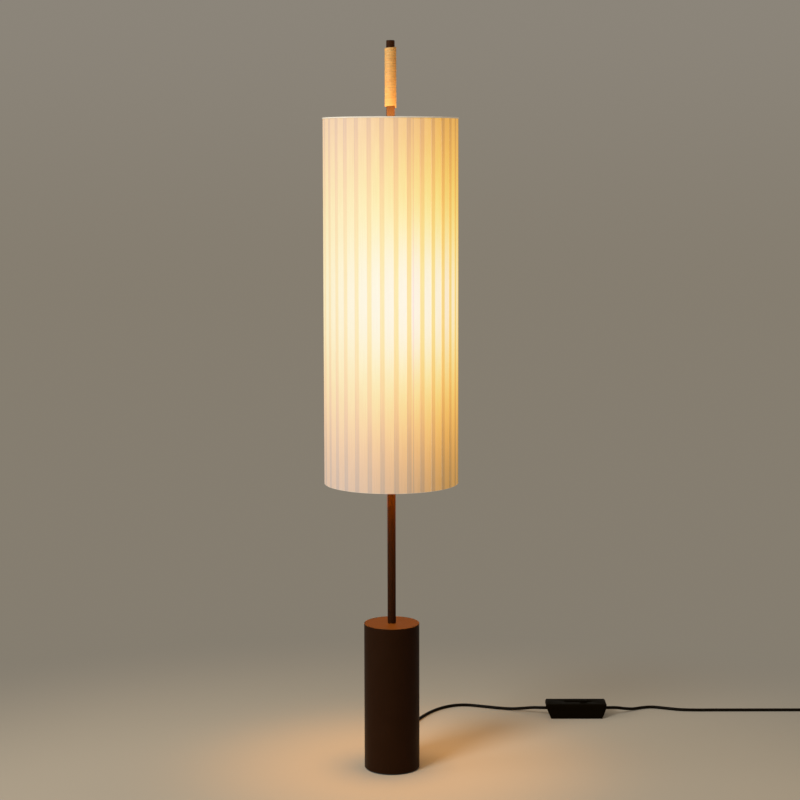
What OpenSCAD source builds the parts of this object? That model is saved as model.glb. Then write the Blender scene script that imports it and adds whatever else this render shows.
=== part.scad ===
// Floor lamp: a long cylinder shade of lapped fabric ribbons on a slim stem, a tall weighted
// base cylinder, a wound carrying handle above the shade and a corded slide dimmer.
// Millimetres. Origin: centre of the underside, on the floor. +Z is up, +Y is the lamp's back.

/* [Base] */
// Outer diameter of the base cylinder
base_d = 100; // [90:1:140]
// Height of the base, from the floor to its top face
base_h = 267; // [230:1:320]
// Wall of the base shell
shell_wall = 2; // [1.5:0.1:3]
// Thickness of the base shell's top
shell_top_t = 3; // [2:0.1:6]
// Rounding of the base shell's top edge
shell_edge_r = 1; // [0.4:0.1:1.8]
// Thickness of the foot pad
foot_t = 2; // [1.5:0.1:4]
// How far the foot pad stays inside the shell's outer edge
foot_inset = 1.5; // [0.5:0.1:1.9]
// Thickness of the base plate
plate_t = 4; // [3:0.1:6]
// Height of the iron ballast
ballast_h = 160; // [120:1:180]
// Height of the cord's exit above the floor
exit_z = 16; // [15:0.5:20]

/* [Stem] */
// Outer diameter of the stem tube
stem_d = 15; // [13:0.5:17]
// Wall of the stem tube
stem_wall = 1.5; // [1:0.1:2]
// Depth of the stem's seat in the ballast
stem_seat = 40; // [20:1:60]
// Diameter of the flange that clamps the stem
flange_d = 60; // [54:1:80]
// Thickness of the flange's disc
flange_t = 6; // [4:0.5:10]
// Diameter of the flange's boss
flange_boss_d = 28; // [26:0.5:30]
// Height of the flange's boss above its disc
flange_boss_h = 18; // [12:0.5:30]

/* [Handle] */
// Overall height of the lamp
total_h = 1313; // [1290:1:1400]
// Height of the cap that closes the stem
cap_h = 12; // [8:0.5:20]
// Rounding of the cap's top edge
cap_edge_r = 1.5; // [0.5:0.1:3]
// Length of the cap's spigot inside the stem
spigot_l = 14; // [8:0.5:30]
// Length of the wound grip
grip_l = 106.5; // [104:0.5:112]
// Number of turns of the strand
grip_turns = 22; // [18:1:22]
// Width of the strand, along the stem
strand_w = 4.1; // [3:0.1:4.1]
// Thickness of the strand
strand_t = 2.8; // [2:0.1:3.5]

/* [Shade] */
// Outer diameter of the shade
shade_d = 242; // [230:1:300]
// Height of the shade
shade_h = 653; // [560:1:740]
// Distance from the wound grip down to the shade's top edge
shade_drop = 17.5; // [10:0.5:40]
// Number of lapped ribbons
ribbon_count = 32; // [24:1:36]
// Width of the lap between two ribbons
ribbon_lap = 8; // [4:0.5:9]
// Thickness of a ribbon
ribbon_t = 0.6; // [0.4:0.05:0.8]
// Angle of the first ribbon's edge from the front
ribbon_turn = 2.3; // [0:0.1:11]
// Thickness of the binding tape
tape_t = 0.4; // [0.3:0.05:0.8]
// Height of the top binding's outer leg
tape_lip = 2.4; // [1.5:0.1:6]
// Height of a binding's inner leg
tape_leg = 2.4; // [1.5:0.1:2.6]
// Height of a hoop
hoop_h = 10; // [9:0.5:16]
// Thickness of a hoop
hoop_t = 1.5; // [1:0.1:2.5]
// Diameter of a spider's hub
hub_d = 28; // [25:0.5:32]
// Height of a spider's hub
hub_h = 10; // [7:0.5:10]
// Diameter of a spider's arms
arm_d = 5; // [3.5:0.5:5]

/* [Lamps] */
// Distance from the shade's top edge down to the middle of the lower bulb's glass
lower_glow_drop = 373; // [368:1:383]
// Distance from the shade's top edge down to the middle of the upper bulb's glass
upper_glow_drop = 248; // [223:1:253]
// Distance from the stem's axis to a bulb's axis
lamp_offset = 30; // [29.5:0.5:32]
// Diameter of a bulb's glass
bulb_d = 30; // [26:0.5:31]
// Length of a bulb's glass
bulb_l = 84; // [70:1:90]
// Diameter of a bulb's screw cap
bulb_cap_d = 14; // [13:0.5:15]
// Length of a bulb's screw cap
bulb_cap_l = 22; // [18:1:26]
// Diameter of a lampholder
holder_d = 27; // [25:0.5:29]
// Height of a lampholder
holder_h = 50; // [40:1:56]
// Diameter of a bracket's collar
collar_d = 26; // [25:0.5:27]
// Height of a bracket's collar
collar_h = 14; // [12:0.5:16]
// Thickness of a bracket's plate
bracket_t = 3; // [2:0.25:4]
// Diameter of a lampholder's threaded nipple
nipple_d = 10; // [9:0.25:11]
// Length of a lampholder's threaded nipple
nipple_l = 9; // [8:0.5:11]
// Diameter of a lead
lead_d = 3; // [2:0.1:3.2]
// Drop from a bracket's plate to its lead's way out of the stem
lead_drop = 26; // [25:0.5:30]
// Bend radius of a lead
lead_bend_r = 10; // [8:0.5:12]

/* [Dimmer] */
// Length of the dimmer at its upright ends
dimmer_top_l = 120; // [116:0.5:124]
// Length of the dimmer at its underside
dimmer_foot_l = 101; // [98:0.5:106]
// Width of the dimmer
dimmer_w = 46; // [44:0.5:52]
// Height of the dimmer
dimmer_h = 28.5; // [27:0.5:30]
// Wall of the dimmer's two shells
dimmer_wall = 2; // [1.5:0.1:2.4]
// Travel of the slider
slide_travel = 40; // [30:1:42]
// Place of the slider in the photographed position, from the dimmer's middle
slide_rest = 15; // [5:0.5:20]
// Place of the slot's middle, from the dimmer's middle
slot_mid = 4; // [1:0.5:6]
// Length of the slider's button
button_l = 14; // [12:0.5:15]
// Width of the slider's button
button_w = 10; // [8:0.5:12]
// Height of the slider's button above the dimmer's top
button_h = 3; // [2:0.1:5]
// Depth of the finger groove
groove_deep = 1; // [0.6:0.1:1]
// Rounding of the finger groove's corners, seen from above
groove_corner_r = 2.2; // [1:0.1:4]
// Thickness of the circuit board
board_t = 1.6; // [1:0.1:2]

/* [Cord and plug] */
// Diameter of the mains cord
cord_d = 6; // [5.6:0.1:6.1]
// Length of the gland's tapered strain relief
gland_l = 30; // [20:1:30]
// Diameter of the gland's flange
gland_flange_d = 18; // [15:0.5:20]
// Largest radius of the coil, at the middle of the cord
coil_r = 43.5; // [42:0.5:50]
// Number of turns of the coil
coil_turns = 5.25; // [5.25:1:6.25]
// Step from one turn of the coil to the next
coil_step = 6.5; // [6.5:0.1:7]
// Width of the plug's body
plug_w = 35; // [32:0.5:38]
// Length of the plug's body
plug_l = 36; // [32:0.5:42]
// Thickness of the plug's body
plug_t = 13.7; // [13:0.1:15]
// Diameter of a pin's tip
pin_d = 4; // [3.8:0.1:4.4]
// Length of a pin
pin_l = 19; // [17:0.5:21]
// Distance between the two pins
pin_spacing = 18.6; // [17:0.1:20]
// Length of a pin's insulating sleeve
sleeve_l = 10; // [8:0.5:12]
// Length of the plug's strain relief
relief_l = 30; // [22:1:40]

/* [Fits] */
// Gap between round faces of pieces that are fixed to each other
seat_gap = 0.15; // [0.1:0.01:0.2]
// Gap round the ballast inside its shell
pour_gap = 0.3; // [0.2:0.05:0.5]
// Gap round a piece that slides
slide_gap = 0.4; // [0.3:0.05:0.5]

/* [Hidden] */
$fn = 96;
eps = 0.01;

// Base, from the floor up
base_r = base_d / 2;
shell_in_r = base_r - shell_wall;
ballast_r = shell_in_r - pour_gap;
plate_z = foot_t;
ballast_z = plate_z + plate_t;
ballast_top = ballast_z + ballast_h;
channel_w = cord_d + 6.6;
bend_r = 28;
screw_r = 2.5;
screw_head_r = 4.75;
screw_sink = 0.3;
screw_l = 22;
base_screw_ring = base_r - 18;
base_screw_angles = [30, 150, 270];

// Stem and cap
stem_r = stem_d / 2;
stem_in_r = stem_r - stem_wall;
stem_bottom = ballast_top - stem_seat;
stem_top = total_h - cap_h;
flange_top = ballast_top + flange_t + flange_boss_h;
flange_screw_ring = (flange_boss_d + flange_d) / 4;
flange_screw_angles = [90, 210, 330];
flange_screw_l = 18;
grub_r = 2;

// Wound grip: one strand, laid round the stem in even turns
grip_rings = 20;
strand_in_r = stem_r / cos(180 / grip_rings) + 0.1;
strand_mid_r = strand_in_r + strand_t / 2;
grip_pitch = (grip_l - strand_w) / grip_turns;
grip_z = stem_top - grip_l;

// Shade: a ribbon starts outside its neighbour and ends under the next one
arm_angles = [90, 210, 330];
spider_screw_angle = 270;
ribbon_gap = 0.15;
ribbon_out_r = shade_d / 2 - tape_t - 0.1;
ribbon_pitch = 360 / ribbon_count;
lap_angle = ribbon_lap / ribbon_out_r * 180 / PI;
ribbon_in_r = ribbon_out_r - ribbon_t - (ribbon_t + ribbon_gap) * (1 + lap_angle / ribbon_pitch);
ribbon_steps = 5;
hoop_out_r = ribbon_in_r - seat_gap;
hoop_in_r = hoop_out_r - hoop_t;
tape_in_r = hoop_in_r - seat_gap - tape_t;
shade_top = grip_z - shade_drop;
shade_z = shade_top - shade_h;
bottom_hoop_z = shade_z + tape_t;
top_hoop_z = shade_top - tape_t - hoop_h;

// Lamps: bracket plate, lampholder and bulb stand on each other, on an axis beside the stem
lower_angle = 210;
upper_angle = 330;
socket_floor = holder_h - bulb_cap_l + 0.7;
bracket_screw_z = -(collar_h + bracket_t) / 2;
lower_plate_z = shade_top - lower_glow_drop - bulb_l / 2 - holder_h;
upper_plate_z = shade_top - upper_glow_drop - bulb_l / 2 - holder_h;
nut_across = 17;
nut_t = 3;
flex_top = upper_plate_z - lead_drop + 6;

// Dimmer, in its own frame: middle of its underside
split_z = 16;
knee_z = 22;
edge_r = 4;
foot_r = 1.5;
plan_r = 10;
board_l = 88;
board_w = 37;
board_z = 8;
standoff_r = 3;
standoff_at = [36, 13];
terminal_l = 10;
terminal_w = 14;
terminal_h = 10;
track_l = slide_travel + 12;
track_w = 9;
track_h = 7;
lever_t = 1.2;
lever_l = 5;
neck_w = 2.4;
slider_foot_w = 7;
slider_foot_t = 1.5;
dimmer_screw_at = [31, 15];
dimmer_screw_r = 1.5;
dimmer_head_r = 2.8;
dimmer_boss_r = 3.5;
roof_z = dimmer_h - dimmer_wall - groove_deep;

// Cord. Points of the two free stretches, chosen by hand along the floor
cord_r = cord_d / 2;
cord_in_dimmer = board_l / 2;
first_route = [
    [0, 80, exit_z], [0, 88, exit_z], [0, 96, exit_z], [0.3, 106, 14.3], [1.5, 118, 9.6],
    [3.6, 132, 5.2], [7.5, 149, 3.1], [13.5, 174, 3], [22.5, 207, 3], [34, 241, 3], [47, 276, 3],
    [61, 309, 3], [78, 339, 3], [99, 364, 3], [123, 380, 3], [149, 383, 3], [178, 374, 3],
    [208, 363, 3], [237, 353, 4], [259, 342, 8.2], [278, 330, 13], [290, 322, 15.2],
    [299, 319, split_z], [309, 319, split_z], [319, 319, split_z]
];
second_route = [
    [407, 319, split_z], [417, 319, split_z], [427, 319, split_z], [437, 321.6, 15.4],
    [449, 328.5, 12.8], [464, 339.5, 8], [481, 351.5, 4.1], [500, 363, 3.1], [521, 367.5, 3],
    [547, 359, 3], [574, 349.5, 3], [605, 346.5, 3], [640, 346.5, 3], [684, 346.5, 3],
    [728, 346.5, 3], [772, 346.5, 3], [816, 346.5, 3], [866, 346.5, 3]
];
// The whole lead lies where the gland's tip puts it
gland_tip_y = base_r + gland_l;
lead_shift = [0, gland_tip_y - first_route[0][1], 0];
dimmer_at = [363, 319, 0] + lead_shift;
route_end = second_route[len(second_route) - 1] + lead_shift;
tube_sides = 8;

// Coil: spirals in on the floor, climbs a layer, and spirals out on top
coil_rings = 24;
coil_sides = 6;
coil_rise = cord_d + 0.5;
coil_at = [route_end[0] + cord_d, route_end[1] - coil_r, cord_r];
coil_turn_back = coil_turns / 2;

// Plug, lying flat beside the coil
plug_lead_l = 27;
plug_at = [coil_at[0] + coil_r, coil_at[1] - plug_lead_l, plug_t / 2];
plug_tail_w = 20;
plug_face_y = plug_at[1] - relief_l - plug_l;

// ---- outlines ----

function unit(v) = v / norm(v);
function polar(r, a) = [r * cos(a), r * sin(a)];
function arc_points(c, r, a0, a1, n) = [for (k = [0:n]) c + polar(r, a0 + (a1 - a0) * k / n)];

// One corner of an outline, rounded: p is the corner, a and b its neighbours
function corner(p, a, b, r, n) = let (
        u = unit(a - p),
        v = unit(b - p),
        half = acos(u * v) / 2,
        c = p + unit(u + v) * r / sin(half),
        from = p + u * r / tan(half) - c,
        to = p + v * r / tan(half) - c,
        a0 = atan2(from[1], from[0]),
        turn = (atan2(to[1], to[0]) - a0 + 540) % 360 - 180
    ) arc_points(c, r, a0, a0 + turn, n);

// An outline with the radius r[i] at corner i, or with the bare corner where r[i] is 0
function rounded(p, r, n = 6) = let (m = len(p)) [
    for (i = [0:m - 1])
        each r[i] == 0 ? [p[i]] : corner(p[i], p[(i + m - 1) % m], p[(i + 1) % m], r[i], n)
];

function box_outline(w, h) = [[-w / 2, -h / 2], [w / 2, -h / 2], [w / 2, h / 2], [-w / 2, h / 2]];

// ---- tubes ----

// A ring of n points round c, in the plane of u and v, with half sizes a and b
function ring(c, u, v, a, b, n) = [
    for (k = [0:n - 1]) let (t = 360 * (k + 0.5) / n) c + a * cos(t) * u + b * sin(t) * v
];

function heading(p, i) = unit(p[min(i + 1, len(p) - 1)] - p[max(i - 1, 0)]);

// Rings along a path that stays near level
function level_rings(p, r, n) = [
    for (i = [0:len(p) - 1]) let (
        t = heading(p, i),
        side = unit(cross(t, [0, 0, 1]))
    ) ring(p[i], side, cross(side, t), r, r, n)
];

// A smooth curve through p, with steps points from each point to the next
function between(a, b, c, d, t) = 0.5 * (2 * b + (c - a) * t
    + (2 * a - 5 * b + 4 * c - d) * t * t + (3 * b - a - 3 * c + d) * t * t * t);
function smooth_path(p, steps) = let (m = len(p)) concat(
    [for (i = [0:m - 2], k = [0:steps - 1])
        between(p[max(i - 1, 0)], p[i], p[i + 1], p[min(i + 2, m - 1)], k / steps)],
    [p[m - 1]]
);

// A closed tube through a list of rings, in triangles
module skin(rings) {
    n = len(rings[0]);
    m = len(rings);
    last = (m - 1) * n;
    walls = [
        for (i = [0:m - 2], k = [0:n - 1]) let (
            a = i * n + k,
            b = i * n + (k + 1) % n
        ) each [[a, a + n, b], [b, a + n, b + n]]
    ];
    ends = [for (k = [1:n - 2]) each [[0, k, k + 1], [last, last + k + 1, last + k]]];
    polyhedron(points = [for (r = rings) each r], faces = concat(walls, ends));
}

// Least distance between path points that lie more than skip points apart
function least_distance(p, skip) = min([
    for (i = [0:len(p) - 1 - skip]) min([for (j = [i + skip:len(p) - 1]) norm(p[j] - p[i])])
]);

// ---- small hardware ----

// A screw with a flat countersunk head, head up, its top face at z = 0
module countersunk(r, head_r, l) {
    rotate_extrude() polygon([
        [0, 0], [head_r, 0], [head_r, -0.4], [r, -0.4 - (head_r - r)], [r, -l + 0.6], [r - 0.6, -l], [0, -l]
    ]);
}

// A cap screw with its head standing on z = 0
module cap_screw(r, l) {
    head_h = 2 * r;
    difference() {
        union() {
            translate([0, 0, -l]) cylinder(r = r, h = l);
            cylinder(r = 1.6 * r, h = head_h);
        }
        translate([0, 0, head_h / 2]) cylinder(r = 0.9 * r, h = head_h, $fn = 6);
    }
}

// A grub screw along +X, from x = 0, with a hexagon socket in its outer end
module grub_screw(r, l) {
    rotate([0, 90, 0]) difference() {
        cylinder(r = r, h = l);
        translate([0, 0, l - 1.5]) cylinder(r = 0.5 * r, h = 2, $fn = 6);
    }
}

// ---- base ----

module foot_pad() {
    r = base_r - foot_inset;
    color("#2a2623") rotate_extrude() polygon([
        [0, 0], [r - 0.4, 0], [r, 0.4], [r, foot_t], [0, foot_t]
    ]);
}

module at_base_screws() {
    for (a = base_screw_angles) rotate([0, 0, a]) translate([base_screw_ring, 0, plate_z]) mirror([0, 0, 1])
        children();
}

module base_plate() {
    color("#8d8f92") difference() {
        translate([0, 0, plate_z]) cylinder(r = ballast_r, h = plate_t);
        at_base_screws() countersunk(screw_r + seat_gap, screw_head_r + screw_sink + seat_gap, screw_l);
    }
}

module base_plate_screws() {
    color("#a9abad") at_base_screws() translate([0, 0, -screw_sink])
        countersunk(screw_r, screw_head_r, screw_l);
}

module ballast() {
    slot_top = exit_z + bend_r + cord_d;
    color("#4b4d50") difference() {
        translate([0, 0, ballast_z]) cylinder(r = ballast_r, h = ballast_h);
        translate([0, 0, ballast_z - 1]) cylinder(r = channel_w / 2, h = stem_bottom - ballast_z + 2);
        translate([-channel_w / 2, 0, ballast_z - 1]) cube([channel_w, base_r, slot_top - ballast_z + 1]);
        translate([0, 0, stem_bottom]) cylinder(r = stem_r + seat_gap, h = stem_seat + 1);
        at_base_screws() translate([0, 0, -screw_l - 1]) cylinder(r = screw_r + seat_gap, h = screw_l);
        for (a = flange_screw_angles) rotate([0, 0, a])
            translate([flange_screw_ring, 0, ballast_top - flange_screw_l])
                cylinder(r = screw_r + seat_gap, h = flange_screw_l + 1);
    }
}

module base_shell() {
    hole_r = stem_r + seat_gap;
    roof = base_h - shell_top_t;
    color("#3a241a") difference() {
        rotate_extrude() polygon(concat(
            [[shell_in_r, plate_z], [base_r - 0.5, plate_z], [base_r, plate_z + 0.5]],
            arc_points([base_r - shell_edge_r, base_h - shell_edge_r], shell_edge_r, 0, 90, 6),
            [[hole_r, base_h], [hole_r, roof], [shell_in_r, roof]]
        ));
        translate([0, shell_in_r - 5, exit_z]) rotate([-90, 0, 0])
            cylinder(r = channel_w / 2, h = shell_wall + 10);
    }
}

module stem_flange() {
    color("#77797c") difference() {
        translate([0, 0, ballast_top]) union() {
            cylinder(r = flange_d / 2, h = flange_t);
            cylinder(r = flange_boss_d / 2, h = flange_t + flange_boss_h);
        }
        translate([0, 0, ballast_top - 1])
            cylinder(r = stem_r + seat_gap, h = flange_t + flange_boss_h + 2);
        for (a = flange_screw_angles) rotate([0, 0, a]) translate([flange_screw_ring, 0, ballast_top - 1])
            cylinder(r = screw_r + seat_gap, h = flange_t + 2);
        translate([0, 0, flange_top - flange_boss_h / 2]) rotate([0, 90, 0])
            cylinder(r = grub_r + seat_gap, h = flange_boss_d, $fn = 48);
    }
}

module flange_screws() {
    color("#a9abad") for (a = flange_screw_angles) rotate([0, 0, a])
        translate([flange_screw_ring, 0, ballast_top + flange_t]) cap_screw(screw_r, flange_t + 12);
}

module flange_grub_screw() {
    color("#a9abad") translate([stem_r + seat_gap, 0, flange_top - flange_boss_h / 2])
        grub_screw(grub_r, flange_boss_d / 2 - stem_r - seat_gap);
}

module along_exit(y) {
    translate([0, base_r + y, exit_z]) rotate([-90, 0, 0]) children();
}

// The rubber gland: a sleeve through the shell, a flange outside, and a ribbed taper for the cord
module cord_gland() {
    tip_r = cord_r + 1;
    root_r = cord_r + 2.6;
    flange_r = gland_flange_d / 2;
    face = 2;
    ribs = 5;
    step = (gland_l - face - 2) / ribs;
    color("#161412") difference() {
        union() {
            along_exit(-shell_wall - 6) cylinder(r = channel_w / 2 - seat_gap, h = shell_wall + 7);
            difference() {
                along_exit(0) rotate_extrude() polygon(concat(
                    [[0, -1.6], [flange_r, -1.6], [flange_r, face - 0.8], [flange_r - 0.8, face]],
                    [for (k = [0:ribs - 1]) let (
                        r = root_r + (tip_r - root_r) * k / ribs,
                        y = face + k * step
                    ) each [
                        [r, y + 0.1], [r, y + step - 1.8], [r - 0.8, y + step - 1.6], [r - 0.8, y + step]
                    ]],
                    [[tip_r, gland_l - 2], [tip_r, gland_l], [0, gland_l]]
                ));
                cylinder(r = base_r + seat_gap, h = base_h);
            }
        }
        along_exit(-base_r) cylinder(r = cord_r + seat_gap, h = base_r + gland_l + 1);
    }
}

// The flex inside the lamp: in through the gland, round a bend and up the stem
module inner_flex() {
    color("#1b1a19") {
        translate([0, bend_r, exit_z]) rotate([-90, 0, 0]) cylinder(r = cord_r, h = gland_tip_y - bend_r);
        translate([0, bend_r, exit_z + bend_r]) rotate([-90, 0, -90])
            rotate_extrude(angle = 90) translate([bend_r, 0]) circle(r = cord_r);
        translate([0, 0, exit_z + bend_r]) cylinder(r = cord_r, h = flex_top - exit_z - bend_r);
    }
}

// ---- stem, cap and wound grip ----

module stem_tube() {
    color("#5a3220") difference() {
        translate([0, 0, stem_bottom]) cylinder(r = stem_r, h = stem_top - stem_bottom);
        translate([0, 0, stem_bottom - 1]) cylinder(r = stem_in_r, h = stem_top - stem_bottom + 2);
        at_lead(lower_angle, lower_plate_z) rotate([0, 90, 0])
            cylinder(r = lead_d / 2 + seat_gap, h = stem_r + 1);
        at_lead(upper_angle, upper_plate_z) rotate([0, 90, 0])
            cylinder(r = lead_d / 2 + seat_gap, h = stem_r + 1);
    }
}

module top_cap() {
    spigot_r = stem_in_r - seat_gap;
    color("#33201a") translate([0, 0, stem_top]) rotate_extrude() polygon(concat(
        [[0, -spigot_l], [spigot_r - 0.6, -spigot_l], [spigot_r, -spigot_l + 0.6], [spigot_r, 0],
            [stem_r, 0]],
        arc_points([stem_r - cap_edge_r, cap_h - cap_edge_r], cap_edge_r, 0, 90, 5),
        [[0, cap_h]]
    ));
}

// One unbroken strand, wound in even turns, with a straight tail at each end
module handle_winding() {
    n = grip_turns * grip_rings;
    start = [strand_mid_r, 0, grip_z + strand_w / 2];
    finish = start + [0, 0, grip_l - strand_w];
    path = concat(
        [start - [0, strand_w, 0]],
        [for (i = [0:n]) let (a = 360 * i / grip_rings)
            [strand_mid_r * cos(a), strand_mid_r * sin(a), start[2] + grip_pitch * i / grip_rings]],
        [finish + [0, strand_w, 0]]
    );
    rings = [for (i = [0:n + 2]) let (
        a = 360 * min(max(i - 1, 0), n) / grip_rings,
        out = [cos(a), sin(a), 0],
        along = i == 0 || i == n + 2 ? [0, 1, 0] : heading(path, i),
        up = unit(cross(out, along))
    ) ring(path[i], out, up, strand_t / 2, strand_w / 2, 6)];
    echo(least_gap_of_winding = least_distance(path, grip_rings - 4) - strand_w);
    color("#e2b276") skin(rings);
}

// ---- lamps ----

module at_lead(angle, plate_z) {
    rotate([0, 0, angle]) translate([0, 0, plate_z - lead_drop]) children();
}

// A collar round the stem with a plate that carries a lampholder
module bracket(angle, z) {
    color("#c9c6bd") rotate([0, 0, angle]) translate([0, 0, z]) difference() {
        union() {
            translate([0, 0, -collar_h]) cylinder(d = collar_d, h = collar_h);
            translate([0, -collar_d / 2, -bracket_t]) cube([lamp_offset, collar_d, bracket_t]);
            translate([lamp_offset, 0, -bracket_t]) cylinder(d = collar_d, h = bracket_t);
        }
        translate([0, 0, -collar_h - 1]) cylinder(r = stem_r + seat_gap, h = collar_h + 2);
        translate([lamp_offset, 0, -bracket_t - 1])
            cylinder(d = nipple_d + 2 * seat_gap, h = bracket_t + 2);
        translate([0, 0, bracket_screw_z]) rotate([0, -90, 0])
            cylinder(r = grub_r + seat_gap, h = collar_d);
    }
}
module lower_bracket() { bracket(lower_angle, lower_plate_z); }
module upper_bracket() { bracket(upper_angle, upper_plate_z); }

module bracket_screws() {
    color("#a9abad") for (p = [[lower_angle, lower_plate_z], [upper_angle, upper_plate_z]])
        rotate([0, 0, p[0] + 180]) translate([stem_r + seat_gap, 0, p[1] + bracket_screw_z])
            grub_screw(grub_r, collar_d / 2 - stem_r - seat_gap);
}

module at_lamp(angle, z) {
    rotate([0, 0, angle]) translate([lamp_offset, 0, z]) children();
}

// A lampholder: a waisted body with a socket above and a threaded nipple below
module lampholder() {
    r = holder_d / 2;
    socket_r = bulb_cap_d / 2 + slide_gap;
    bore_r = nipple_d / 2 - 1.6;
    waist_z = 15;
    color("#ece8de") rotate_extrude() polygon(concat(
        [[bore_r, -nipple_l], [nipple_d / 2, -nipple_l], [nipple_d / 2, 0]],
        arc_points([r - 3, 3], 3, -90, 0, 4),
        [[r, waist_z], [r - 1, waist_z + 1], [r - 1, waist_z + 2], [r, waist_z + 3],
            [r, holder_h - 1], [r - 1, holder_h], [socket_r, holder_h], [socket_r, socket_floor],
            [bore_r, socket_floor]]
    ));
}
module lower_lampholder() { at_lamp(lower_angle, lower_plate_z) lampholder(); }
module upper_lampholder() { at_lamp(upper_angle, upper_plate_z) lampholder(); }

module lampholder_nuts() {
    color("#c7a64e") for (p = [[lower_angle, lower_plate_z], [upper_angle, upper_plate_z]])
        at_lamp(p[0], p[1] - bracket_t - nut_t) difference() {
            cylinder(d = nut_across, h = nut_t, $fn = 6);
            translate([0, 0, -1]) cylinder(d = nipple_d + 2 * seat_gap, h = nut_t + 2);
        }
}

// Two leads: out of the stem, round a bend and up into the lampholders
module lamp_leads() {
    r = lead_d / 2;
    run = lamp_offset - lead_bend_r;
    start = cord_r + seat_gap;
    color("#ddd6c8") for (p = [[lower_angle, lower_plate_z], [upper_angle, upper_plate_z]])
        at_lead(p[0], p[1]) {
            translate([start, 0, 0]) rotate([0, 90, 0]) cylinder(r = r, h = run - start);
            translate([run, 0, lead_bend_r]) rotate([-90, 0, 0])
                rotate_extrude(angle = 90) translate([lead_bend_r, 0]) circle(r = r);
            translate([lamp_offset, 0, lead_bend_r])
                cylinder(r = r, h = lead_drop - lead_bend_r + socket_floor - 3);
        }
}

// A screw cap with rolled threads and its contact
module bulb_cap() {
    r = bulb_cap_d / 2;
    threads = 4;
    pitch = (bulb_cap_l - 8) / threads;
    color("#b9b4a6") translate([0, 0, holder_h + 1 - bulb_cap_l]) rotate_extrude() polygon(concat(
        [[0, 0], [2.4, 0], [2.4, 1], [r - 2.5, 3]],
        [for (k = [0:threads - 1]) each [
            [r - 0.7, 4 + k * pitch], [r, 4 + (k + 0.35) * pitch], [r, 4 + (k + 0.65) * pitch]]],
        [[r - 0.7, bulb_cap_l - 4], [r - 0.7, bulb_cap_l], [0, bulb_cap_l]]
    ));
}
module lower_bulb_cap() { at_lamp(lower_angle, lower_plate_z) bulb_cap(); }
module upper_bulb_cap() { at_lamp(upper_angle, upper_plate_z) bulb_cap(); }

// An opal tube with a round end and a neck down to its cap
module bulb() {
    r = bulb_d / 2;
    neck_r = bulb_cap_d / 2 - 0.7;
    color("#fff3d8") translate([0, 0, holder_h + 1]) rotate_extrude() polygon(concat(
        [[0, 0], [neck_r, 0]],
        arc_points([r - 6, 10], 6, -60, 0, 4),
        arc_points([r - 10, bulb_l - 11], 10, 0, 75, 6),
        [[0, bulb_l - 1]]
    ));
}
module lower_bulb() { at_lamp(lower_angle, lower_plate_z) bulb(); }
module upper_bulb() { at_lamp(upper_angle, upper_plate_z) bulb(); }

// ---- shade ----

// A hub round the stem with three arms that end at the hoop
module spider(z) {
    color("#d8d5cc") translate([0, 0, z]) difference() {
        union() {
            translate([0, 0, -hub_h / 2]) cylinder(d = hub_d, h = hub_h);
            for (a = arm_angles) rotate([0, 0, a]) rotate([0, 90, 0])
                cylinder(d = arm_d, h = hoop_in_r - seat_gap);
        }
        translate([0, 0, -hub_h]) cylinder(r = stem_r + seat_gap, h = 2 * hub_h);
        rotate([0, 0, spider_screw_angle]) rotate([0, 90, 0]) cylinder(r = grub_r + seat_gap, h = hub_d);
    }
}
module bottom_spider() { spider(bottom_hoop_z + hoop_h / 2); }
module top_spider() { spider(top_hoop_z + hoop_h / 2); }

module spider_screws() {
    color("#a9abad") for (z = [bottom_hoop_z, top_hoop_z])
        rotate([0, 0, spider_screw_angle]) translate([stem_r + seat_gap, 0, z + hoop_h / 2])
            grub_screw(grub_r, hub_d / 2 - stem_r - seat_gap);
}

module hoop(z) {
    color("#d8d5cc") translate([0, 0, z]) difference() {
        cylinder(r = hoop_out_r, h = hoop_h, $fn = 180);
        translate([0, 0, -1]) cylinder(r = hoop_in_r, h = hoop_h + 2, $fn = 180);
    }
}
module bottom_hoop() { hoop(bottom_hoop_z); }
module top_hoop() { hoop(top_hoop_z); }

// A ribbon starts on the outside and drifts inwards until it lies under the next one's edge
module shade_ribbons() {
    span = ribbon_pitch + lap_angle;
    function drift(a) = ribbon_out_r - (ribbon_t + ribbon_gap) * a / ribbon_pitch;
    angles = [for (k = [0:ribbon_steps]) span * k / ribbon_steps];
    outline = concat(
        [for (a = angles) polar(drift(a), a)],
        [for (k = [ribbon_steps:-1:0]) polar(drift(angles[k]) - ribbon_t, angles[k])]
    );
    color("#fbeecb") for (k = [0:ribbon_count - 1])
        rotate([0, 0, -90 + ribbon_turn + k * ribbon_pitch]) translate([0, 0, bottom_hoop_z])
            linear_extrude(shade_h - 2 * tape_t) polygon(outline);
}

// The tape folded over the lower edge, with no leg outside
module bottom_binding() {
    web_t = tape_t - 0.05;
    color("#efe6d2") translate([0, 0, shade_z]) rotate_extrude($fn = 180) polygon([
        [tape_in_r, 0], [ribbon_out_r, 0], [ribbon_out_r, web_t], [tape_in_r + tape_t, web_t],
        [tape_in_r + tape_t, tape_leg], [tape_in_r, tape_leg]
    ]);
}

// The tape folded over the upper edge, with a narrow leg outside
module top_binding() {
    out_r = shade_d / 2;
    web_t = tape_t - 0.05;
    color("#efe6d2") translate([0, 0, shade_top]) rotate_extrude($fn = 180) polygon([
        [tape_in_r, 0], [tape_in_r, -tape_leg], [tape_in_r + tape_t, -tape_leg],
        [tape_in_r + tape_t, -web_t], [out_r - tape_t, -web_t],
        [out_r - tape_t, -tape_lip], [out_r, -tape_lip], [out_r, 0]
    ]);
}

// ---- lead and dimmer ----

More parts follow.
